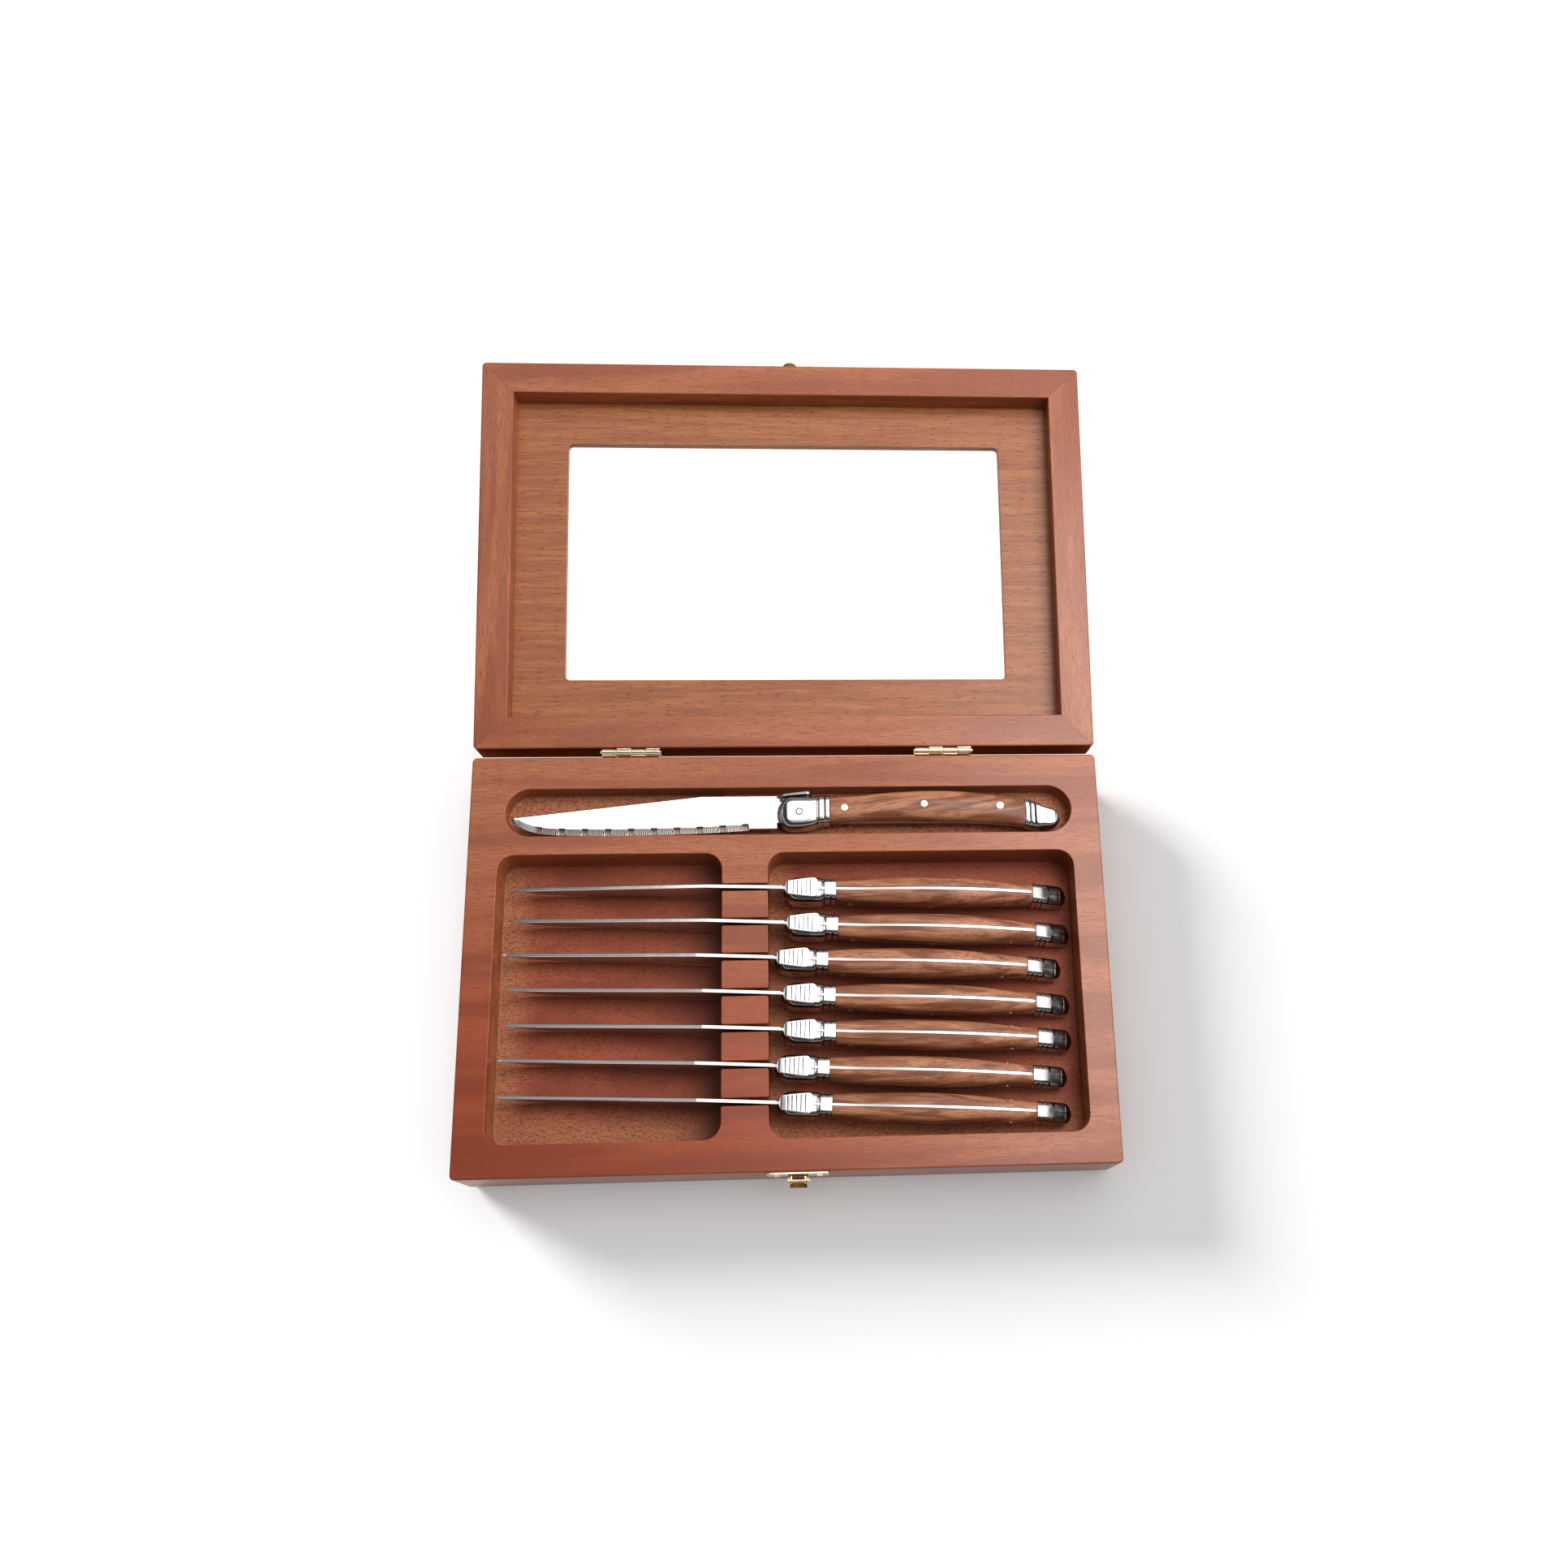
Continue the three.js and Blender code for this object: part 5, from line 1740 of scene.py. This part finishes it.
    def end_cap(self) -> Shell:
        """Makes the end cap: flat-topped sections that turn round and close in a dome, with two beads."""
        share = np.concatenate([np.linspace(0, 0.8, 44), 0.8 + 0.2 * (1 - np.linspace(1, 0.01, 30) ** 2)])
        top, bottom, full = smooth_curve(self.cap_rows, share).T
        close = np.sqrt(np.clip(1 - np.clip((share - 0.78) / 0.22, 0, 1) ** 2.3, 0, 1))
        s = share * self.cap_length
        groove = self.beads(s, self.cap_grooves)
        middle, reach = (top + bottom) / 2, (top - bottom) / 2 * close
        half = np.maximum(self.cap_thickness / 2 * full * close, 0.02)
        past = np.clip((share - self.cap_top_end) / 0.06, 0, 1)
        end = np.sqrt(1 - np.clip((share - 0.7) / 0.26, 0, 1) ** 2)
        flats = (self.cap_flats[0] * (1 - past), self.cap_flats[1] * end)
        section, corner, level = self.ring(middle + reach, middle - reach, half, flats, groove)
        # The dome's end, the round corners and the top behind its flat take the darker steel, a painted
        # dark reflection.
        dark = np.where(share[1:, None] > 0.95, 1, np.maximum(corner, level * (past[1:, None] > 0)))
        return self.fitting(self.cap_start + s, section, half, groove, dark)

    def rivets(self) -> Shell:
        """Makes the rivets of the bolster and the end cap, each a fine ring on the polished side."""
        shell = Shell()
        spread = np.array([-1.0, 0.0, 1.0]) * self.pin_radius
        for rows, (share, u), thickness, start, length in (
            (self.bolster_rows, self.bolster_rivet, self.bolster_thickness, 0.0, self.bolster_length),
            (self.cap_rows, self.cap_rivet, self.cap_thickness, self.cap_start, self.cap_length),
        ):
            full = smooth_curve(rows, share + spread / length)[:, 2].max()
            reach = thickness / 2 * full + self.rivet_stand
            shell.add(self.stud(start + share * length, u, reach, self.rivet_rim))
        return shell

    def build(self) -> None:
        """Makes the knife's pieces and lets them ride on its body."""
        name = f"knife_{self.number}"
        slant = 6.0 + 3.0 * math.sin(2.4 * self.number)
        blade = (BLADE_STEEL, GROUND_STEEL, SCALLOP_STEEL, TANG_STEEL)
        stud, plate = (FITTING_STEEL, SEAM_STEEL), (FITTING_STEEL, FLANK_STEEL)
        cast = (*plate, SEAM_STEEL)
        for piece, slot, node, finishes, shell in (
            ("steel", "blade_steel", "blade", blade, self.blade()),
            ("pins", "blade_steel", "", plate, self.pins()),
            ("collar", "bolster_steel", "bolster", cast, self.bolster()),
            ("thumb_plate", "bolster_steel", "", plate, self.thumb_plate()),
            ("rivets", "bolster_steel", "", stud, self.rivets()),
            ("butt", "bolster_steel", "end_cap", cast, self.end_cap()),
            ("left_scale", "handle_wood", "scale_left", (HANDLE_WOOD,), self.scale(Side.LEFT)),
            ("right_scale", "handle_wood", "scale_right", (HANDLE_WOOD,), self.scale(Side.RIGHT)),
        ):
            replaced = (f"{name}_{node}",) if node else ()
            fitting = Fitting(name, slot, finishes, replaced, self.placement, grain_slant=slant)
            fitting.build(f"{name}_{piece}", shell)


@dataclass(frozen=True)
class KnifeSet:
    """Seven knives that stand in the bridge's slots and one that lies in the long slot."""

    setbacks: tuple[float, ...] = (6.2, 6.8, 2.4, 5.2, 5.1, 2.3, 3.1)
    splays: tuple[float, ...] = (1.4, 2.3, 2.4, 2.6, 2.6, 2.9, 2.9)
    tilt: float = 0.3448
    spine_height: float = 32.4
    flat_place: tuple[float, float, float] = (-4.85, 70.7, 29.5)

    def build(self) -> None:
        """Makes all eight knives."""
        tray = Tray()
        half_bridge = (tray.bridge_right - tray.bridge_left) / 2
        for i, (setback, splay) in enumerate(zip(self.setbacks, self.splays)):
            y = tray.bridge_slots[i] - (setback + half_bridge) * math.tan(math.radians(splay))
            place = (tray.bridge_right + setback, y, self.spine_height)
            Knife(i + 1, Placement(turned(2, -splay) @ turned(1, self.tilt), place)).build()
        Knife(len(self.splays) + 1, Placement(turned(0, -90.0), self.flat_place)).build()


# Studio


@dataclass(frozen=True)
class Studio:
    """A white floor, two soft boxes behind the case and on its right, the surround and the camera.

    The horizon looks white all round, and lights the case from behind on the right.
    """

    camera_place: tuple[float, float, float] = (0.0101376, -0.142392, 0.598497)
    camera_turn: tuple[float, float, float] = (15.8857, -3.5219, -1.8121)
    focal_pixels: float = 1733.584
    picture_pixels: float = 1932.0
    principal: tuple[float, float] = (1120.464, 1123.444)
    sensor: float = 36.0
    floor_half: float = 25.0
    box_place: tuple[float, float, float] = (0.527, 0.463, 1.2)
    box_size: tuple[float, float] = (1.52, 1.84)
    box_turn: float = 41.0
    box_watts: float = 16.0
    window_place: tuple[float, float, float] = (0.52, 0.26, 0.95)
    window_size: tuple[float, float] = (0.67, 0.52)
    window_watts: float = 8.0
    sun_watts: float = 4.7
    sun_elevation: float = 21.0
    sun_azimuth: float = 143.0
    sun_angle: float = 21.0
    fill_watts: float = 1.55
    fill_angle: float = 100.0
    horizon: float = 1.0
    bright_side: tuple[float, float, float] = (0.8, 0.6, 0.0)
    side_light: tuple[float, float] = (0.02, 0.9)
    wall: float = 0.06
    wall_rise: tuple[float, float] = (0.4, 0.52)
    zenith: float = 0.55
    ceiling: tuple[float, float] = (0.84, 0.93)

    def camera(self) -> None:
        """Puts the camera where the picture was taken from."""
        data = bpy.data.cameras.new("camera")
        data.sensor_width = self.sensor
        data.lens = self.focal_pixels * self.sensor / self.picture_pixels
        data.shift_x = (self.picture_pixels / 2 - self.principal[0]) / self.picture_pixels
        data.shift_y = (self.principal[1] - self.picture_pixels / 2) / self.picture_pixels
        data.clip_start = 0.01
        camera = bpy.data.objects.new("camera", data)
        camera.location = self.camera_place
        camera.rotation_euler = [math.radians(angle) for angle in self.camera_turn]
        bpy.context.scene.collection.objects.link(camera)
        bpy.context.scene.camera = camera

    def floor(self) -> bpy.types.Object:
        """Lays the white floor."""
        mesh = bpy.data.meshes.new("floor")
        half = self.floor_half
        corners = [(-half, -half, 0), (half, -half, 0), (half, half, 0), (-half, half, 0)]
        mesh.from_pydata(corners, [], [(0, 1, 2, 3)])
        mesh.materials.append(FloorPaper().material())
        floor = bpy.data.objects.new("floor", mesh)
        bpy.context.scene.collection.objects.link(floor)
        return floor

    def surround(self) -> None:
        """Makes the world by direction: white at the horizon, dark walls above it and a grey ceiling."""
        world = bpy.data.worlds.new("studio")
        world.use_nodes = True
        tree = world.node_tree
        tree.nodes.clear()
        direction = add_node(tree, "TexCoord").outputs["Generated"]
        height = add_node(tree, "SeparateXYZ", {0: direction}).outputs["Z"]
        toward = add_node(tree, "VectorMath", {0: direction, 1: self.bright_side}, operation="DOT_PRODUCT")
        dim, full = self.side_light
        limits = {"From Min": -0.5, "From Max": 0.5, "To Min": dim, "To Max": full}
        side = add_node(tree, "MapRange", {"Value": toward.outputs["Value"], **limits}).outputs["Result"]
        bright = add_node(tree, "Mix", {0: background_rays(tree), 2: side, 3: self.horizon}).outputs[0]
        start, end = self.wall_rise
        limits = {"From Min": start, "From Max": end, "To Min": bright, "To Max": self.wall}
        low = add_node(tree, "MapRange", {"Value": height, **limits}, **SMOOTH)
        start, end = self.ceiling
        limits = {"From Min": start, "From Max": end, "To Max": self.zenith - self.wall}
        high = add_node(tree, "MapRange", {"Value": height, **limits}, **SMOOTH)
        both = {0: low.outputs["Result"], 1: high.outputs["Result"]}
        strength = add_node(tree, "Math", both, operation="ADD").outputs[0]
        background = add_node(tree, "Background", {"Color": linear("#ffffff"), "Strength": strength})
        add_node(tree, "OutputWorld", {"Surface": background.outputs[0]})
        bpy.context.scene.world = world

    def group(self, name: str, objects: list, state: str) -> bpy.types.Collection:
        """Groups objects that a lamp's light is limited to or kept from.

        Args:
            name: The group's name.
            objects: The objects.
            state: INCLUDE or EXCLUDE.

        Returns:
            The group.
        """
        group = bpy.data.collections.new(name)
        for each in objects:
            group.objects.link(each)
        for each in group.collection_objects:
            each.light_linking.link_state = state
        return group

    def soft_box(
        self, name: str, place: tuple, size: tuple[float, float], turn: float, watts: float,
        dark: bpy.types.Collection,
    ) -> None:
        """Hangs a level soft box over the scene.

        Args:
            name: The lamp's name.
            place: Its middle.
            size: Its length and width.
            turn: Its turn in plan, in degrees.
            watts: Its power.
            dark: What it leaves unlit.
        """
        data = bpy.data.lights.new(name, "AREA")
        data.shape = "RECTANGLE"
        data.size, data.size_y = size
        data.energy = watts
        lamp = bpy.data.objects.new(name, data)
        lamp.location = place
        lamp.rotation_euler = (0, 0, math.radians(turn))
        lamp.visible_camera = False
        bpy.context.scene.collection.objects.link(lamp)
        lamp.light_linking.receiver_collection = dark

    def floor_lamp(
        self, name: str, turn: tuple[float, float], angle: float, watts: float, lit: bpy.types.Collection,
        raised: bpy.types.Collection,
    ) -> None:
        """Sets up a lamp for the floor alone.

        Args:
            name: The lamp's name.
            turn: Its turn from straight down and in plan, in degrees.
            angle: How wide it looks from the floor, in degrees.
            watts: Its power on each square metre.
            lit: The floor.
            raised: What lets its light through.
        """
        data = bpy.data.lights.new(name, "SUN")
        data.energy = watts
        data.angle = math.radians(angle)
        lamp = bpy.data.objects.new(name, data)
        lamp.rotation_euler = (0, math.radians(turn[0]), math.radians(turn[1]))
        bpy.context.scene.collection.objects.link(lamp)
        lamp.light_linking.receiver_collection = lit
        lamp.light_linking.blocker_collection = raised

    def build(self, lid: bpy.types.Object) -> None:
        """Makes the whole studio, once the pieces are in the scene.

        The floor's own lamps come from low behind on the left, for the tray's long shadow, and from above.
        All the lid's pieces but the rear rail let them through.

        Args:
            lid: The lid's body, whose children its pieces are.
        """
        scene = bpy.context.scene
        scene.view_settings.view_transform = "Standard"
        self.camera()
        self.surround()
        floor = self.floor()
        dark = self.group("no_soft_box", [floor], "EXCLUDE")
        self.soft_box("soft_box", self.box_place, self.box_size, self.box_turn, self.box_watts, dark)
        self.soft_box("window_box", self.window_place, self.window_size, 0.0, self.window_watts, dark)
        lit = self.group("floor_only", [floor], "INCLUDE")
        pieces = [piece for piece in lid.children if piece.name != "lid_rear_rail"]
        raised = self.group("no_lid_shadow", pieces, "EXCLUDE")
        low = (90 - self.sun_elevation, self.sun_azimuth)
        self.floor_lamp("floor_lamp", low, self.sun_angle, self.sun_watts, lit, raised)
        self.floor_lamp("floor_fill", (0.0, 0.0), self.fill_angle, self.fill_watts, lit, raised)


def dress_pane(pane: bpy.types.Object) -> None:
    """Gives the frame's own pane its glass.

    Args:
        pane: The pane.
    """
    pane.data.materials.clear()
    pane.data.materials.append(Glass().material())
    log.info("%s: glass", pane.name)


def main() -> None:
    """Builds the case and its studio on the frame."""
    logging.basicConfig(level=logging.INFO, format="%(message)s")
    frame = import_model()
    Tray().build()
    Lid().build()
    for name, centre in (("left", -67.0), ("right", 67.0)):
        Hinge(name, centre).build()
    Latch().build()
    KnifeSet().build()
    dress_pane(frame["nodes"]["window_pane"])
    Studio().build(frame["bodies"]["lid"])


if __name__ == "__main__":
    main()
